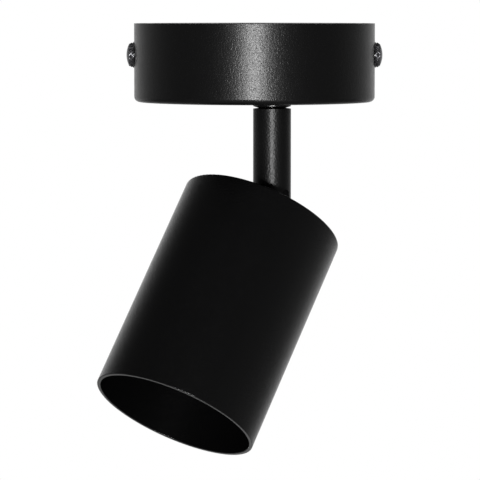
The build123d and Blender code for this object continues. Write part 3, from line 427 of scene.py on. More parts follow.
sizes = add_node(lathe, "NodeGroupInput").outputs
profile_size = add_node(lathe, "GeometryNodeAttributeDomainSize", {"Geometry": sizes["Profile"]})
corner_count = profile_size.outputs["Point Count"]
columns = add_node(lathe, "ShaderNodeMath", {0: sizes["Steps"], 1: 1.0}, operation="ADD")
grid_inputs = {"Size X": 1.0, "Size Y": 1.0, "Vertices X": columns, "Vertices Y": corner_count}
grid = add_node(lathe, "GeometryNodeMeshGrid", grid_inputs)
here = add_node(lathe, "GeometryNodeInputPosition")
across = add_node(lathe, "ShaderNodeSeparateXYZ", {"Vector": here}).outputs
turn = add_node(lathe, "ShaderNodeMath", {0: across["X"], 1: 0.5}, operation="ADD")
down = add_node(lathe, "ShaderNodeMath", {0: across["Y"], 1: 0.5}, operation="ADD")
last_row = add_node(lathe, "ShaderNodeMath", {0: corner_count, 1: 1.0}, operation="SUBTRACT")
row_place = add_node(lathe, "ShaderNodeMath", {0: down, 1: last_row}, operation="MULTIPLY")
row = add_node(lathe, "ShaderNodeMath", {0: row_place}, operation="ROUND")
look_up = {"Geometry": sizes["Profile"], "Value": here, "Index": row}
corner = add_node(lathe, "GeometryNodeSampleIndex", look_up, data_type="FLOAT_VECTOR")
outline = add_node(lathe, "ShaderNodeSeparateXYZ", {"Vector": corner}).outputs
print("grid and profile take", len(lathe.nodes), "nodes")

# %% [markdown]
# A groove's depth changes from zero on its land to the full depth on its floor, with smooth flanks
# between. One family of grooves is a screw thread. Two families that cross leave the diamonds of a knurl.
# Each grid point moves out to its radius and sinks to the groove's floor where a groove passes. The seam
# and the poles are then merged.

# %% The lathe's grooves and spin
MERGE_DISTANCE = 0.001 * MM

starts = add_node(lathe, "ShaderNodeMath", {0: turn, 1: sizes["Groove Starts"]}, operation="MULTIPLY")
rise = add_node(lathe, "ShaderNodeMath", {0: outline["Z"], 1: sizes["Groove Pitch"]}, operation="DIVIDE")
right_wind = add_node(lathe, "ShaderNodeMath", {0: starts, 1: rise}, operation="ADD")
left_wind = add_node(lathe, "ShaderNodeMath", {0: starts, 1: rise}, operation="SUBTRACT")
right_groove = add_node(lathe, "ShaderNodeMath", {0: right_wind, 1: 0.5}, operation="PINGPONG")
left_groove = add_node(lathe, "ShaderNodeMath", {0: left_wind, 1: 0.5}, operation="PINGPONG")
crossing = add_node(lathe, "ShaderNodeMath", {0: left_groove, 1: sizes["Crossed"]}, operation="MULTIPLY")
deepest = add_node(lathe, "ShaderNodeMath", {0: right_groove, 1: crossing}, operation="MAXIMUM")
flank_start = add_node(lathe, "ShaderNodeMath", {0: sizes["Groove Land"], 1: 0.5}, operation="MULTIPLY")
half_floor = {0: sizes["Groove Floor"], 1: -0.5, 2: 0.5}
flank_end = add_node(lathe, "ShaderNodeMath", half_floor, operation="MULTIPLY_ADD")
flank = {"Value": deepest, "From Min": flank_start, "From Max": flank_end}
cut = add_node(lathe, "ShaderNodeMapRange", flank, interpolation_type="SMOOTHSTEP")
full_depth = {0: sizes["Groove Radius"], 1: sizes["Groove Depth"]}
floor_radius = add_node(lathe, "ShaderNodeMath", full_depth, operation="SUBTRACT")
over_floor = add_node(lathe, "ShaderNodeMath", {0: outline["X"], 1: floor_radius}, operation="SUBTRACT")
above_floor = add_node(lathe, "ShaderNodeMath", {0: over_floor, 1: 0.0}, operation="MAXIMUM")
sink = add_node(lathe, "ShaderNodeMath", {0: cut, 1: above_floor}, operation="MULTIPLY")
radius = add_node(lathe, "ShaderNodeMath", {0: outline["X"], 1: sink}, operation="SUBTRACT")

angle = add_node(lathe, "ShaderNodeMath", {0: turn, 1: 2 * math.pi}, operation="MULTIPLY")
cosine = add_node(lathe, "ShaderNodeMath", {0: angle}, operation="COSINE")
sine = add_node(lathe, "ShaderNodeMath", {0: angle}, operation="SINE")
spun = add_node(lathe, "ShaderNodeCombineXYZ", {
    "X": add_node(lathe, "ShaderNodeMath", {0: radius, 1: cosine}, operation="MULTIPLY"),
    "Y": add_node(lathe, "ShaderNodeMath", {0: radius, 1: sine}, operation="MULTIPLY"),
    "Z": outline["Z"],
})
placed = add_node(lathe, "GeometryNodeSetPosition", {"Geometry": grid, "Position": spun})
closed = add_node(lathe, "GeometryNodeMergeByDistance", {"Geometry": placed, "Distance": MERGE_DISTANCE})
plain = add_node(lathe, "GeometryNodeRealizeInstances", {"Geometry": closed})
coated = add_node(lathe, "GeometryNodeSetMaterial", {"Geometry": plain, "Material": sizes["Finish"]})
add_node(lathe, "NodeGroupOutput", {"Turned": coated})
print("lathe tree has", len(lathe.nodes), "nodes")

# %% [markdown]
# A modifier runs the tree on a small object that holds only the profile. Its inputs are set by identifier
# before the object is first evaluated. The result is then kept as a plain mesh, turned into its place,
# and its normals are made to point outwards, so nothing depends on the modifier any more.

# %% Run a tree and keep its mesh
def apply_tree(name, source, tree, inputs, placing, sharp_angle):
    """Runs a Geometry Nodes tree on a source object and returns a plain object at the origin."""
    modifier = source.modifiers.new("shape", "NODES")
    modifier.node_group = tree
    for item in tree.interface.items_tree:
        if item.in_out == "INPUT" and item.name in inputs:
            modifier[item.identifier] = inputs[item.name]
    graph = bpy.context.evaluated_depsgraph_get()
    shaped = source.evaluated_get(graph)
    mesh = bpy.data.meshes.new_from_object(shaped, preserve_all_data_layers=True, depsgraph=graph)
    bpy.data.objects.remove(source)
    mesh.name = name
    mesh.transform(placing)
    work = bmesh.new()
    work.from_mesh(mesh)
    bmesh.ops.recalc_face_normals(work, faces=work.faces)
    work.to_mesh(mesh)
    work.free()
    mesh.shade_smooth()
    mesh.set_sharp_from_angle(angle=math.radians(sharp_angle))
    piece = bpy.data.objects.new(name, mesh)
    bpy.context.scene.collection.objects.link(piece)
    print(name, len(mesh.polygons), "faces")
    return piece


def draw_profile(*runs):
    """A source object with a lathe profile. Each run is a radius, a height and its count of steps."""
    points = [Vector((runs[0][0], 0, runs[0][1]))]
    for run_radius, run_height, steps in runs[1:]:
        start = points[-1]
        end = Vector((run_radius, 0, run_height))
        points += [start.lerp(end, step / steps) for step in range(1, steps + 1)]
    mesh = bpy.data.meshes.new("profile")
    mesh.from_pydata(points, [(i, i + 1) for i in range(len(points) - 1)], [])
    source = bpy.data.objects.new("profile", mesh)
    bpy.context.scene.collection.objects.link(source)
    return source


print("lathe ready")

# %% [markdown]
# The thumb knobs are what fingers hold, so their rims carry a coarse diamond knurl, and their ends are
# domed. Each knob is a blind cap screwed onto its stud, and its rim narrows a little towards the dome. A
# bump in the material would leave the outline smooth, so the knurl is cut into the mesh. The rim's
# profile needs many rows, because every row is a chance for the knurl to change depth. The diamonds are
# about 1.8 mm, as the bright facets on the real rim show.

# %% Knurled thumb knobs
KNOB_DIAMETER = 8.8 * MM
KNOB_TIP_DIAMETER = 7.6 * MM
KNOB_RIM = 1.55 * MM
KNOB_DOME = 0.95 * MM
DOME_STEPS = 14
KNOB_SOCKET = 4.0 * MM
KNOB_SOCKET_DEPTH = 1.4 * MM
KNURLS = 12
KNURL_PITCH = 1.8 * MM
KNURL_DEPTH = 0.8 * MM
KNURL_LAND = 0.12
KNURL_FLOOR = 0.12
KNURL_STEPS = 20
RIM_ROWS = 28
KNOB_DEGREES = {"left": 7, "right": 15}
SCREW_LEVEL = -10.45 * MM
CANOPY_RADIUS = 40.0 * MM
RUNNING_CLEARANCE = 0.05 * MM

tip_radius = KNOB_TIP_DIAMETER / 2
dome_radius = (tip_radius**2 + KNOB_DOME**2) / (2 * KNOB_DOME)
dome_edge = math.asin(tip_radius / dome_radius)
dome_runs = []
for step in range(1, DOME_STEPS + 1):
    slope = dome_edge * (1 - step / DOME_STEPS)
    dome_height = KNOB_RIM + KNOB_DOME - dome_radius * (1 - math.cos(slope))
    dome_runs.append((dome_radius * math.sin(slope), dome_height, 1))

for side_name, side in (("left", -1), ("right", 1)):
    knob_profile = draw_profile(
        (0, KNOB_SOCKET_DEPTH),
        (KNOB_SOCKET / 2, KNOB_SOCKET_DEPTH, 2),
        (KNOB_SOCKET / 2, 0, 2),
        (KNOB_DIAMETER / 2, 0, 2),
        (tip_radius, KNOB_RIM, RIM_ROWS),
        *dome_runs,
    )
    turned = Matrix.Rotation(math.radians(KNOB_DEGREES[side_name]), 4, "Z")
    outward = Matrix.Rotation(side * math.pi / 2, 4, "Y") @ turned
    seat = Matrix.Translation((side * (CANOPY_RADIUS + RUNNING_CLEARANCE), 0, SCREW_LEVEL))
    knob = apply_tree(f"{side_name}_knurled_knob", knob_profile, lathe, {
        "Steps": KNURLS * KNURL_STEPS,
        "Groove Starts": KNURLS,
        "Groove Pitch": KNURL_PITCH,
        "Groove Depth": KNURL_DEPTH,
        "Groove Radius": KNOB_DIAMETER / 2,
        "Groove Land": KNURL_LAND,
        "Groove Floor": KNURL_FLOOR,
        "Crossed": 1.0,
        "Finish": finishes["black_nickel_plating"],
    }, seat @ outward, sharp_angle=20)
    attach(knob, f"{side_name}_knob")
    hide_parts(f"{side_name}_thumb_knob")

# %% [markdown]
# The studs under the knobs are M4 threads, seen when a knob is backed out or from above. The same lathe
# cuts them with a single groove that climbs 0.7 mm a turn. A thread's land, floor and depth are given as
# shares of its pitch.

# %% Threaded studs
STUD_DIAMETER = 3.9 * MM
STUD_PITCH = 0.7 * MM
STUD_BEVEL = 0.3 * MM
STUD_STEPS = 48
STUD_ROWS = 90
THREAD_LAND = 0.125
THREAD_FLOOR = 0.25
THREAD_DEPTH = 0.6

for side_name, side in (("left", -1), ("right", 1)):
    low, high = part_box(f"{side_name}_thumb_stud")
    stud_length = high.x - low.x
    inner_end = low.x if side > 0 else high.x
    stud_profile = draw_profile(
        (0, 0),
        (STUD_DIAMETER / 2 - STUD_BEVEL, 0, 1),
        (STUD_DIAMETER / 2, STUD_BEVEL, 2),
        (STUD_DIAMETER / 2, stud_length, STUD_ROWS),
        (0, stud_length, 1),
    )
    outward = Matrix.Rotation(side * math.pi / 2, 4, "Y")
    stud = apply_tree(f"{side_name}_threaded_stud", stud_profile, lathe, {
        "Steps": STUD_STEPS,
        "Groove Starts": 1,
        "Groove Pitch": STUD_PITCH,
        "Groove Depth": THREAD_DEPTH * STUD_PITCH,
        "Groove Radius": STUD_DIAMETER / 2,
        "Groove Land": THREAD_LAND,
        "Groove Floor": THREAD_FLOOR,
        "Crossed": 0.0,
        "Finish": finishes["zinc_plated_steel"],
    }, Matrix.Translation((inner_end, 0, SCREW_LEVEL)) @ outward, sharp_angle=40)
    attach(stud, f"{side_name}_screw")
    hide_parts(f"{side_name}_thumb_stud")

# %% [markdown]
# The nipple that holds the stem is a hollow M10 thread of fine pitch, so its profile goes down the bore
# as well. It stands on the stem's axis, to the right of the cup's middle and as far behind it.

# %% Threaded nipple
NIPPLE_DIAMETER = 9.4 * MM
NIPPLE_BORE = 6.8 * MM
NIPPLE_PITCH = 1.0 * MM
NIPPLE_STEPS = 64
NIPPLE_ROWS = 260
STEM_OFFSET = 5.9 * MM
STEM_PLACE = Vector((STEM_OFFSET, STEM_OFFSET, 0))

low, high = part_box("swivel_nipple")
nipple_length = high.z - low.z
nipple_profile = draw_profile(
    (NIPPLE_BORE / 2, 0),
    (NIPPLE_DIAMETER / 2, 0, 1),
    (NIPPLE_DIAMETER / 2, nipple_length, NIPPLE_ROWS),
    (NIPPLE_BORE / 2, nipple_length, 1),
    (NIPPLE_BORE / 2, 0, 1),
)
nipple = apply_tree("threaded_nipple", nipple_profile, lathe, {
    "Steps": NIPPLE_STEPS,
    "Groove Starts": 1,
    "Groove Pitch": NIPPLE_PITCH,
    "Groove Depth": THREAD_DEPTH * NIPPLE_PITCH,
    "Groove Radius": NIPPLE_DIAMETER / 2,
    "Groove Land": THREAD_LAND,
    "Groove Floor": THREAD_FLOOR,
    "Crossed": 0.0,
    "Finish": finishes["blackened_steel"],
}, Matrix.Translation(STEM_PLACE + Vector((0, 0, low.z))), sharp_angle=40)
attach(nipple, "stem")
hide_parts("swivel_nipple")

# %% [markdown]
# A wire is a round section that follows a path, which is the other thing Geometry Nodes are good at. A
# curve with a bevel would give the same tube, but a grid wrapped round the curve can also carry a UV map
# in metres, which the patterns need. Its columns go round the wire and its rows along it. The first and
# the last row shrink to a point and close the ends.

# %% The wire's grid
wire_maker = bpy.data.node_groups.new("wire", "GeometryNodeTree")
wire_maker.interface.new_socket("Route", in_out="INPUT", socket_type="NodeSocketGeometry")
for socket_name, socket_type in (
    ("Diameter", "NodeSocketFloat"),
    ("Sides", "NodeSocketInt"),
    ("Rows", "NodeSocketInt"),
    ("Finish", "NodeSocketMaterial"),
):
    wire_maker.interface.new_socket(socket_name, in_out="INPUT", socket_type=socket_type)
wire_maker.interface.new_socket("Wire", in_out="OUTPUT", socket_type="NodeSocketGeometry")

sizes = add_node(wire_maker, "NodeGroupInput").outputs
grid = add_node(wire_maker, "GeometryNodeMeshGrid", {
    "Size X": 1.0,
    "Size Y": 1.0,
    "Vertices X": add_node(wire_maker, "ShaderNodeMath", {0: sizes["Sides"], 1: 1.0}, operation="ADD"),
    "Vertices Y": add_node(wire_maker, "ShaderNodeMath", {0: sizes["Rows"], 1: 3.0}, operation="ADD"),
})
here = add_node(wire_maker, "GeometryNodeInputPosition")
across = add_node(wire_maker, "ShaderNodeSeparateXYZ", {"Vector": here}).outputs
turn = add_node(wire_maker, "ShaderNodeMath", {0: across["X"], 1: 0.5}, operation="ADD")
down = add_node(wire_maker, "ShaderNodeMath", {0: across["Y"], 1: 0.5}, operation="ADD")
last_row = add_node(wire_maker, "ShaderNodeMath", {0: sizes["Rows"], 1: 2.0}, operation="ADD")
row_place = add_node(wire_maker, "ShaderNodeMath", {0: down, 1: last_row}, operation="MULTIPLY")
row = add_node(wire_maker, "ShaderNodeMath", {0: row_place}, operation="ROUND")
past_first = add_node(wire_maker, "ShaderNodeMath", {0: row, 1: 1.0}, operation="SUBTRACT")
share = add_node(wire_maker, "ShaderNodeMath", {0: past_first, 1: sizes["Rows"]}, operation="DIVIDE")
along = add_node(wire_maker, "ShaderNodeClamp", {"Value": share})
not_first = add_node(wire_maker, "ShaderNodeMath", {0: row, 1: 0.5}, operation="GREATER_THAN")
before_last = add_node(wire_maker, "ShaderNodeMath", {0: last_row, 1: 0.5}, operation="SUBTRACT")
not_last = add_node(wire_maker, "ShaderNodeMath", {0: row, 1: before_last}, operation="LESS_THAN")
not_end = add_node(wire_maker, "ShaderNodeMath", {0: not_first, 1: not_last}, operation="MULTIPLY")
half = add_node(wire_maker, "ShaderNodeMath", {0: sizes["Diameter"], 1: 0.5}, operation="MULTIPLY")
reach = add_node(wire_maker, "ShaderNodeMath", {0: half, 1: not_end}, operation="MULTIPLY")
print("wire grid takes", len(wire_maker.nodes), "nodes")

# %% [markdown]
# The wire's UV map stays in the corners of the faces, so the pattern has no break at the seam. Each grid
# point goes to its place along the path and then out by half the diameter. The paths are smooth splines
# over the corners of the real wire's route, as silicone wire takes them.

# %% The wire's skin
route_length = add_node(wire_maker, "GeometryNodeCurveLength", {"Curve": sizes["Route"]})
girth = add_node(wire_maker, "ShaderNodeMath", {0: sizes["Diameter"], 1: math.pi}, operation="MULTIPLY")
uv = add_node(wire_maker, "ShaderNodeCombineXYZ", {
    "X": add_node(wire_maker, "ShaderNodeMath", {0: along, 1: route_length}, operation="MULTIPLY"),
    "Y": add_node(wire_maker, "ShaderNodeMath", {0: turn, 1: girth}, operation="MULTIPLY"),
})
mapped = add_node(wire_maker, "GeometryNodeStoreNamedAttribute",
                  {"Geometry": grid, "Name": "UVMap", "Value": uv},
                  data_type="FLOAT2", domain="CORNER")
spot = add_node(wire_maker, "GeometryNodeSampleCurve", {"Curves": sizes["Route"], "Factor": along},
                mode="FACTOR", use_all_curves=True).outputs
sideways = add_node(wire_maker, "ShaderNodeVectorMath", {0: spot["Tangent"], 1: spot["Normal"]},
                    operation="CROSS_PRODUCT")
angle = add_node(wire_maker, "ShaderNodeMath", {0: turn, 1: 2 * math.pi}, operation="MULTIPLY")
cosine = add_node(wire_maker, "ShaderNodeMath", {0: angle}, operation="COSINE")
sine = add_node(wire_maker, "ShaderNodeMath", {0: angle}, operation="SINE")
first_part = add_node(wire_maker, "ShaderNodeVectorMath", {
    0: spot["Normal"],
    "Scale": add_node(wire_maker, "ShaderNodeMath", {0: reach, 1: cosine}, operation="MULTIPLY"),
}, operation="SCALE")
second_part = add_node(wire_maker, "ShaderNodeVectorMath", {
    0: sideways,
    "Scale": add_node(wire_maker, "ShaderNodeMath", {0: reach, 1: sine}, operation="MULTIPLY"),
}, operation="SCALE")
ring = add_node(wire_maker, "ShaderNodeVectorMath", {0: first_part, 1: second_part}, operation="ADD")
on_skin = add_node(wire_maker, "ShaderNodeVectorMath", {0: spot["Position"], 1: ring}, operation="ADD")
placed = add_node(wire_maker, "GeometryNodeSetPosition", {"Geometry": mapped, "Position": on_skin})
seam = {"Geometry": placed, "Distance": MERGE_DISTANCE}
closed = add_node(wire_maker, "GeometryNodeMergeByDistance", seam)
plain = add_node(wire_maker, "GeometryNodeRealizeInstances", {"Geometry": closed})
coat = {"Geometry": plain, "Material": sizes["Finish"]}
coated = add_node(wire_maker, "GeometryNodeSetMaterial", coat)
add_node(wire_maker, "NodeGroupOutput", {"Wire": coated})
print("wire tree has", len(wire_maker.nodes), "nodes")

# %% [markdown]
# The wires start where the sleeved lead ends, so their routes need the hinge's place and the head's lean.
# The stem's frame stands upright at the pivot and the head's frame is tipped 34 degrees from it, towards
# the front left. With both frames known, each route is a short list of corners in millimetres.

# %% Frames of the stem and the head
PIVOT_LEVEL = -57.2 * MM
PIVOT = Vector((STEM_OFFSET, STEM_OFFSET, PIVOT_LEVEL))
REST_TILT = math.radians(34.0)
REST_LEAN = math.radians(-132.6)

lean = Vector((math.cos(REST_LEAN), math.sin(REST_LEAN), 0))
hinge_axis = Vector((lean.y, -lean.x, 0))
head_up = Vector((0, 0, 1)) * math.cos(REST_TILT) - lean * math.sin(REST_TILT)
head_side = head_up.cross(hinge_axis)


def in_head(x, y, z):
    """A point given in millimetres along the hinge, towards the lean and up the head's axis."""
    return PIVOT + (hinge_axis * x + head_side * y + head_up * z) * MM


print("head leans along", [round(value, 3) for value in -head_up])

# %% [markdown]
# The lead comes down the stem, bends through the hinge and ends under the cap. Its straight part rides on
# the stem. Its bend crosses the tilt joint and is kept where it lies at the head's rest tilt.

# %% Sleeved lead
def draw_route(points):
    """A source object with a smooth spline over a route's corners."""
    curve = bpy.data.curves.new("route", "CURVE")
    curve.dimensions = "3D"
    spline = curve.splines.new("NURBS")
    spline.points.add(len(points) - 1)
    for spline_point, point in zip(spline.points, points):
        spline_point.co = (*point, 1.0)
    spline.order_u = 3
    spline.use_endpoint_u = True
    spline.resolution_u = 16
    source = bpy.data.objects.new("route", curve)
    bpy.context.scene.collection.objects.link(source)
    return source


def make_wire(name, points, diameter, rows, finish):
    """A wire piece over a route."""
    inputs = {"Diameter": diameter, "Sides": 32, "Rows": rows, "Finish": finishes[finish]}
    return apply_tree(name, draw_route(points), wire_maker, inputs, Matrix.Identity(4), sharp_angle=60)


LEAD_END = -11.2
STEM_ROWS = 24
HINGE_ROWS = 40

low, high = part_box("stem_lead")
lead_middle = (low + high) / 2
lead_top = Vector((lead_middle.x, lead_middle.y, high.z))
lead_break = Vector((lead_middle.x, lead_middle.y, low.z))
stem_route = [lead_top, lead_middle, lead_break]
stem_lead = make_wire("stem_sleeve", stem_route, LEAD_DIAMETER, STEM_ROWS, "braided_glass_fibre")
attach(stem_lead, "stem")
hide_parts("stem_lead")

hinge_route = [lead_break, PIVOT, in_head(0, 0, LEAD_END)]
hinge_lead = make_wire("hinge_sleeve", hinge_route, LEAD_DIAMETER, HINGE_ROWS, "braided_glass_fibre")
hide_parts("hinge_lead")
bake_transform(hinge_lead)

# %% [markdown]
# Out of the lead come the three wires: above, to the terminal block and the earth screw in the cup, and
# below, to the lampholder's contacts and the earth lug under the cap.

# %% Insulated wires
WIRE_SPREAD = 1.2
WIRE_ROWS = 60


def wire_place(degrees):
    """Where a wire leaves the lead's end, in millimetres from the lead's axis."""
    return WIRE_SPREAD * math.cos(math.radians(degrees)), WIRE_SPREAD * math.sin(math.radians(degrees))


POLE_SIDE = 5.0
CLAMP_LEVEL = -7.5
CLAMP_END = -12.5
CLAMP_TURN = -1.55
EARTH_LEVEL = -3.0
EARTH_LUG_END = (14.136, 2.918)
canopy_routes = {
    "live_wire": (150, "brown", [
        (CLAMP_TURN, POLE_SIDE, CLAMP_LEVEL),
        (CLAMP_END, POLE_SIDE, CLAMP_LEVEL),
    ]),
    "neutral_wire": (270, "blue", [
        (CLAMP_TURN, -POLE_SIDE, CLAMP_LEVEL),
        (CLAMP_END, -POLE_SIDE, CLAMP_LEVEL),
    ]),
    "earth_wire": (30, "green_yellow", [(*EARTH_LUG_END, EARTH_LEVEL)]),
}
for name, (degrees, colour, corners) in canopy_routes.items():
    x, y = wire_place(degrees)
    start = lead_top + Vector((x, y, 0)) * MM
    above = Vector((start.x, start.y, corners[0][2] * MM))
    route = [start, above] + [Vector(corner) * MM for corner in corners]
    wire = make_wire(f"canopy_{name}", route, WIRE_DIAMETER, WIRE_ROWS, f"{colour}_silicone")
    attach(wire, "canopy")
    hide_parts(name)

# %% [markdown]
# In the head, the two current wires drop from the grommet to the holes in the lampholder's cover, and the
# earth wire loops round to the lug under one of the yoke's screws.

# %% Head wires
COVER_TOP = -19.2
BODY_TOP = -22.2
EARTH_STEP = -15.2
EARTH_TURN = 11.0
EARTH_SIDE = -0.6
LUG_LEVEL = -12.7
LUG_SIDE = -8.5
LUG_END = 6.05
ENTRY_HEIGHT = 2.0
head_routes = {
    "head_live_wire": (90, "brown", LEAD_END - ENTRY_HEIGHT, [
        (0, POLE_SIDE, COVER_TOP + ENTRY_HEIGHT),
        (0, POLE_SIDE, BODY_TOP),
    ]),
    "head_neutral_wire": (210, "blue", LEAD_END - ENTRY_HEIGHT, [
        (0, -POLE_SIDE, COVER_TOP + ENTRY_HEIGHT),
        (0, -POLE_SIDE, BODY_TOP),
    ]),
    "head_earth_wire": (330, "green_yellow", EARTH_STEP, [
        (EARTH_TURN, EARTH_SIDE, EARTH_STEP),
        (EARTH_TURN, LUG_SIDE, LUG_LEVEL),
        (LUG_END, LUG_SIDE, LUG_LEVEL),
    ]),
}
for name, (degrees, colour, first_turn, corners) in head_routes.items():
    x, y = wire_place(degrees)
    route = [in_head(x, y, LEAD_END), in_head(x, y, first_turn)]
    route += [in_head(*corner) for corner in corners]
    wire = make_wire(f"lamp_{name}", route, WIRE_DIAMETER, WIRE_ROWS, f"{colour}_silicone")
    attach(wire, "head")
    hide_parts(name)

# %% [markdown]
# The light hangs over a round, pale floor. A small function serves the floor and the surround after it:
# it tells the rays that shiny surfaces send out from all the others, because reflections here see another
# studio than the camera does.

# %% Floor
FLOOR_LEVEL = -0.6
FLOOR_RADIUS = 2.3

floor_mesh = bpy.data.meshes.new("floor")
work = bmesh.new()
bmesh.ops.create_circle(work, cap_ends=True, segments=96, radius=FLOOR_RADIUS,
                        matrix=Matrix.Translation((0, 0, FLOOR_LEVEL)))
work.to_mesh(floor_mesh)
work.free()
floor = bpy.data.objects.new("floor", floor_mesh)
bpy.context.scene.collection.objects.link(floor)


def mirrored(tree):
    """1 on rays that a shiny or clear surface sends out, 0 on others."""
    path = add_node(tree, "ShaderNodeLightPath").outputs
    rays = {0: path["Is Glossy Ray"], 1: path["Is Transmission Ray"]}
    return add_node(tree, "ShaderNodeMath", rays, operation="MAXIMUM")


print("floor at", FLOOR_LEVEL, "m")

# %% [markdown]
# To the camera the floor glows nearly white and fades into the white wall at its rim, and it still keeps
# the object's shadow. In the object's reflections the floor shows painted light: it glows dark nearby and
# lighter far behind, with a painted pool of light a little behind the object that shows in the edge of the
# head's mouth. A ceiling light is mostly seen from below, so the floor is clear from its underside.

# %% Floor finish
FLOOR_GRAIN = 4 * MM
FADE_START = 0.9
NEAR_LEVEL = 0.84
FAR_START = 0.7
FAR_END = 2.2
FAR_LEVEL = 0.7
POOL_PLACE = (0, 0.7, FLOOR_LEVEL)
POOL_INNER = 0.2
POOL_OUTER = 0.75
PAINTED_POOL_LEVEL = 0.45

tree, shader, place = start_finish("pale_floor")
fade = add_node(tree, "ShaderNodeMapRange", {
    "Value": add_node(tree, "ShaderNodeVectorMath", {0: place}, operation="LENGTH").outputs["Value"],
    "From Min": FADE_START,
    "From Max": FLOOR_RADIUS,
    "To Min": NEAR_LEVEL,
    "To Max": 1.0,
}, interpolation_type="SMOOTHSTEP")
seen = add_node(tree, "ShaderNodeLightPath").outputs["Is Camera Ray"]
to_camera = add_node(tree, "ShaderNodeMath", {0: fade, 1: seen}, operation="MULTIPLY")
# Painted glow seen only in reflections: the floor emits more the farther behind the object it lies.
far_floor = add_node(tree, "ShaderNodeMapRange", {
    "Value": add_node(tree, "ShaderNodeSeparateXYZ", {"Vector": place}).outputs["Y"],
    "From Min": FAR_START,
    "From Max": FAR_END,
    "To Max": FAR_LEVEL,
}, interpolation_type="SMOOTHSTEP")
# A painted pool of light on the floor a little behind the object, seen only in reflections.
from_pool = add_node(tree, "ShaderNodeVectorMath", {0: place, 1: POOL_PLACE}, operation="DISTANCE")
pool = add_node(tree, "ShaderNodeMapRange", {
    "Value": from_pool.outputs["Value"],
    "From Min": POOL_INNER,
    "From Max": POOL_OUTER,
    "To Min": PAINTED_POOL_LEVEL,
    "To Max": 0.0,
}, interpolation_type="SMOOTHSTEP")
painted_floor_glow = add_node(tree, "ShaderNodeMath", {0: far_floor, 1: pool}, operation="MAXIMUM")
to_mirrors = add_node(tree, "ShaderNodeMath", {0: painted_floor_glow, 1: mirrored(tree)}, operation="MULTIPLY")
shine = add_node(tree, "ShaderNodeMath", {0: to_camera, 1: to_mirrors}, operation="MAXIMUM")
grain = add_node(tree, "ShaderNodeTexNoise", {"Vector": place, "Scale": 1 / FLOOR_GRAIN, "Detail": 2.0})
tones = {0: grain, FIRST_COLOUR: linear("#e6e6e6"), SECOND_COLOUR: linear("#ececec")}
set_inputs(tree, shader, {
    "Base Color": add_node(tree, "ShaderNodeMix", tones, data_type="RGBA").outputs[MIXED_COLOUR],
    "Roughness": 0.9,
    "Specular IOR Level": 0.0,
    "Emission Color": linear("#ffffff"),
    "Emission Strength": shine,
})
underside = add_node(tree, "ShaderNodeNewGeometry").outputs["Backfacing"]
clear = add_node(tree, "ShaderNodeBsdfTransparent")
one_sided = add_node(tree, "ShaderNodeMixShader", {0: underside, 1: shader, 2: clear})
set_inputs(tree, tree.nodes["Material Output"], {"Surface": one_sided})
floor_mesh.materials.append(finishes["pale_floor"])
# The pool of light named below is painted glow on the floor, not light from a lamp.
print("floor finished with a pool of light", POOL_OUTER, "m in radius")

# %% [markdown]
# Past the object and the floor, the camera sees pure white. In reflections the wall is nearly as white
# straight behind the object and falls off towards the sides, and the ceiling and the room in front are
# dim. That is what draws the light edges of the black cylinders and keeps their middles dark. Matt
# surfaces get a little less of it.

# %% Surround
ROOM_LEVEL = 0.11
WALL_RISE = 0.2
WALL_START = -0.1
WALL_GLOW = 0.64
GLOW_POWER = 5.0
CEILING_START = 0.05
CEILING_END = 0.6
CEILING_LEVEL = 0.055
MATT_SHARE = 0.6

world = bpy.data.worlds.new("surround")
bpy.context.scene.world = world
world.use_nodes = True
tree = world.node_tree
tree.nodes.clear()
look = add_node(tree, "ShaderNodeTexCoord").outputs["Generated"]
direction = add_node(tree, "ShaderNodeSeparateXYZ", {"Vector": look}).outputs
depth = add_node(tree, "ShaderNodeMapRange", {"Value": direction["Y"], "From Min": WALL_START})
peak = add_node(tree, "ShaderNodeMath", {0: depth, 1: GLOW_POWER}, operation="POWER")
glow = add_node(tree, "ShaderNodeMath", {0: peak, 1: WALL_GLOW}, operation="MULTIPLY")
rise_inputs = {0: depth, 1: WALL_RISE, 2: ROOM_LEVEL}
rising = add_node(tree, "ShaderNodeMath", rise_inputs, operation="MULTIPLY_ADD")
wall = add_node(tree, "ShaderNodeMath", {0: glow, 1: rising}, operation="ADD")
height = add_node(tree, "ShaderNodeMapRange", {
    "Value": direction["Z"],
    "From Min": CEILING_START,
    "From Max": CEILING_END,
}, interpolation_type="SMOOTHSTEP")
room = add_node(tree, "ShaderNodeMix", {"Factor": height, "A": wall, "B": CEILING_LEVEL})
shares = {0: mirrored(tree), 1: 1 - MATT_SHARE, 2: MATT_SHARE}
fill = add_node(tree, "ShaderNodeMath", shares, operation="MULTIPLY_ADD")
around = add_node(tree, "ShaderNodeMath", {0: room, 1: fill}, operation="MULTIPLY")
seen = add_node(tree, "ShaderNodeLightPath").outputs["Is Camera Ray"]
strength = add_node(tree, "ShaderNodeMath", {0: seen, 1: around}, operation="MAXIMUM")
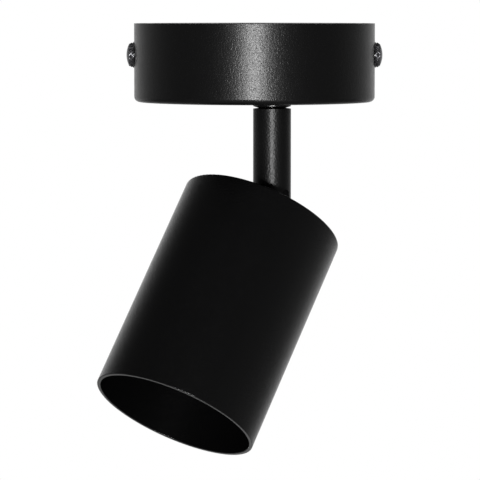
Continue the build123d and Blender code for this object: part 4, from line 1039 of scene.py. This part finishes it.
light = add_node(tree, "ShaderNodeBackground", {"Color": linear("#ffffff"), "Strength": strength})
add_node(tree, "ShaderNodeOutputWorld", {"Surface": light})
print("surround ready")

# %% [markdown]
# One small softbox stands far in front, a little low, and draws the soft vertical streaks on the cup and
# the stem. A larger, weaker one hangs above, so that the floor and the inside of the cup get light. A
# lamp's power is set from the light that should reach the object: power is that times pi and the distance
# squared.

# %% Softboxes
SPOTLIGHT_MIDDLE = Vector((0, 0, -0.06))


def add_softbox(name, azimuth, elevation, distance, size, light_level):
    """A square soft lamp that faces the spotlight's middle."""
    data = bpy.data.lights.new(name, "AREA")
    data.size = size
    data.energy = light_level * math.pi * distance**2
    lamp = bpy.data.objects.new(name, data)
    azimuth, elevation = math.radians(azimuth), math.radians(elevation)
    flat = math.cos(elevation)
    away = Vector((flat * math.sin(azimuth), -flat * math.cos(azimuth), math.sin(elevation)))
    lamp.location = SPOTLIGHT_MIDDLE + away * distance
    lamp.rotation_euler = away.to_track_quat("Z", "Y").to_euler()
    lamp.visible_camera = False
    bpy.context.scene.collection.objects.link(lamp)


add_softbox("front_softbox", azimuth=0, elevation=-1.8, distance=3.0, size=0.16, light_level=1.68)
add_softbox("top_softbox", azimuth=0, elevation=90, distance=1.3, size=0.7, light_level=0.3)
print("two softboxes")

# %% [markdown]
# The camera looks from the front, a little over four degrees down, through a long lens that keeps the
# sides of the cup nearly parallel. Its place was found by fitting the CAD outlines to the picture.

# %% Camera
CAMERA_DISTANCE = 1.02214
CAMERA_LEVEL = 0.00555
LOOK_DOWN = math.radians(4.3498)
LOOK_LEFT = math.radians(0.2695)

camera_data = bpy.data.cameras.new("camera")
camera_data.sensor_width = 36
camera_data.lens = 230.13
camera = bpy.data.objects.new("camera", camera_data)
camera.location = (0, -CAMERA_DISTANCE, CAMERA_LEVEL)
camera.rotation_euler = (math.pi / 2 - LOOK_DOWN, 0, LOOK_LEFT)
bpy.context.scene.collection.objects.link(camera)
bpy.context.scene.camera = camera
bpy.context.scene.view_settings.view_transform = "Standard"
print("lens", camera_data.lens, "mm")
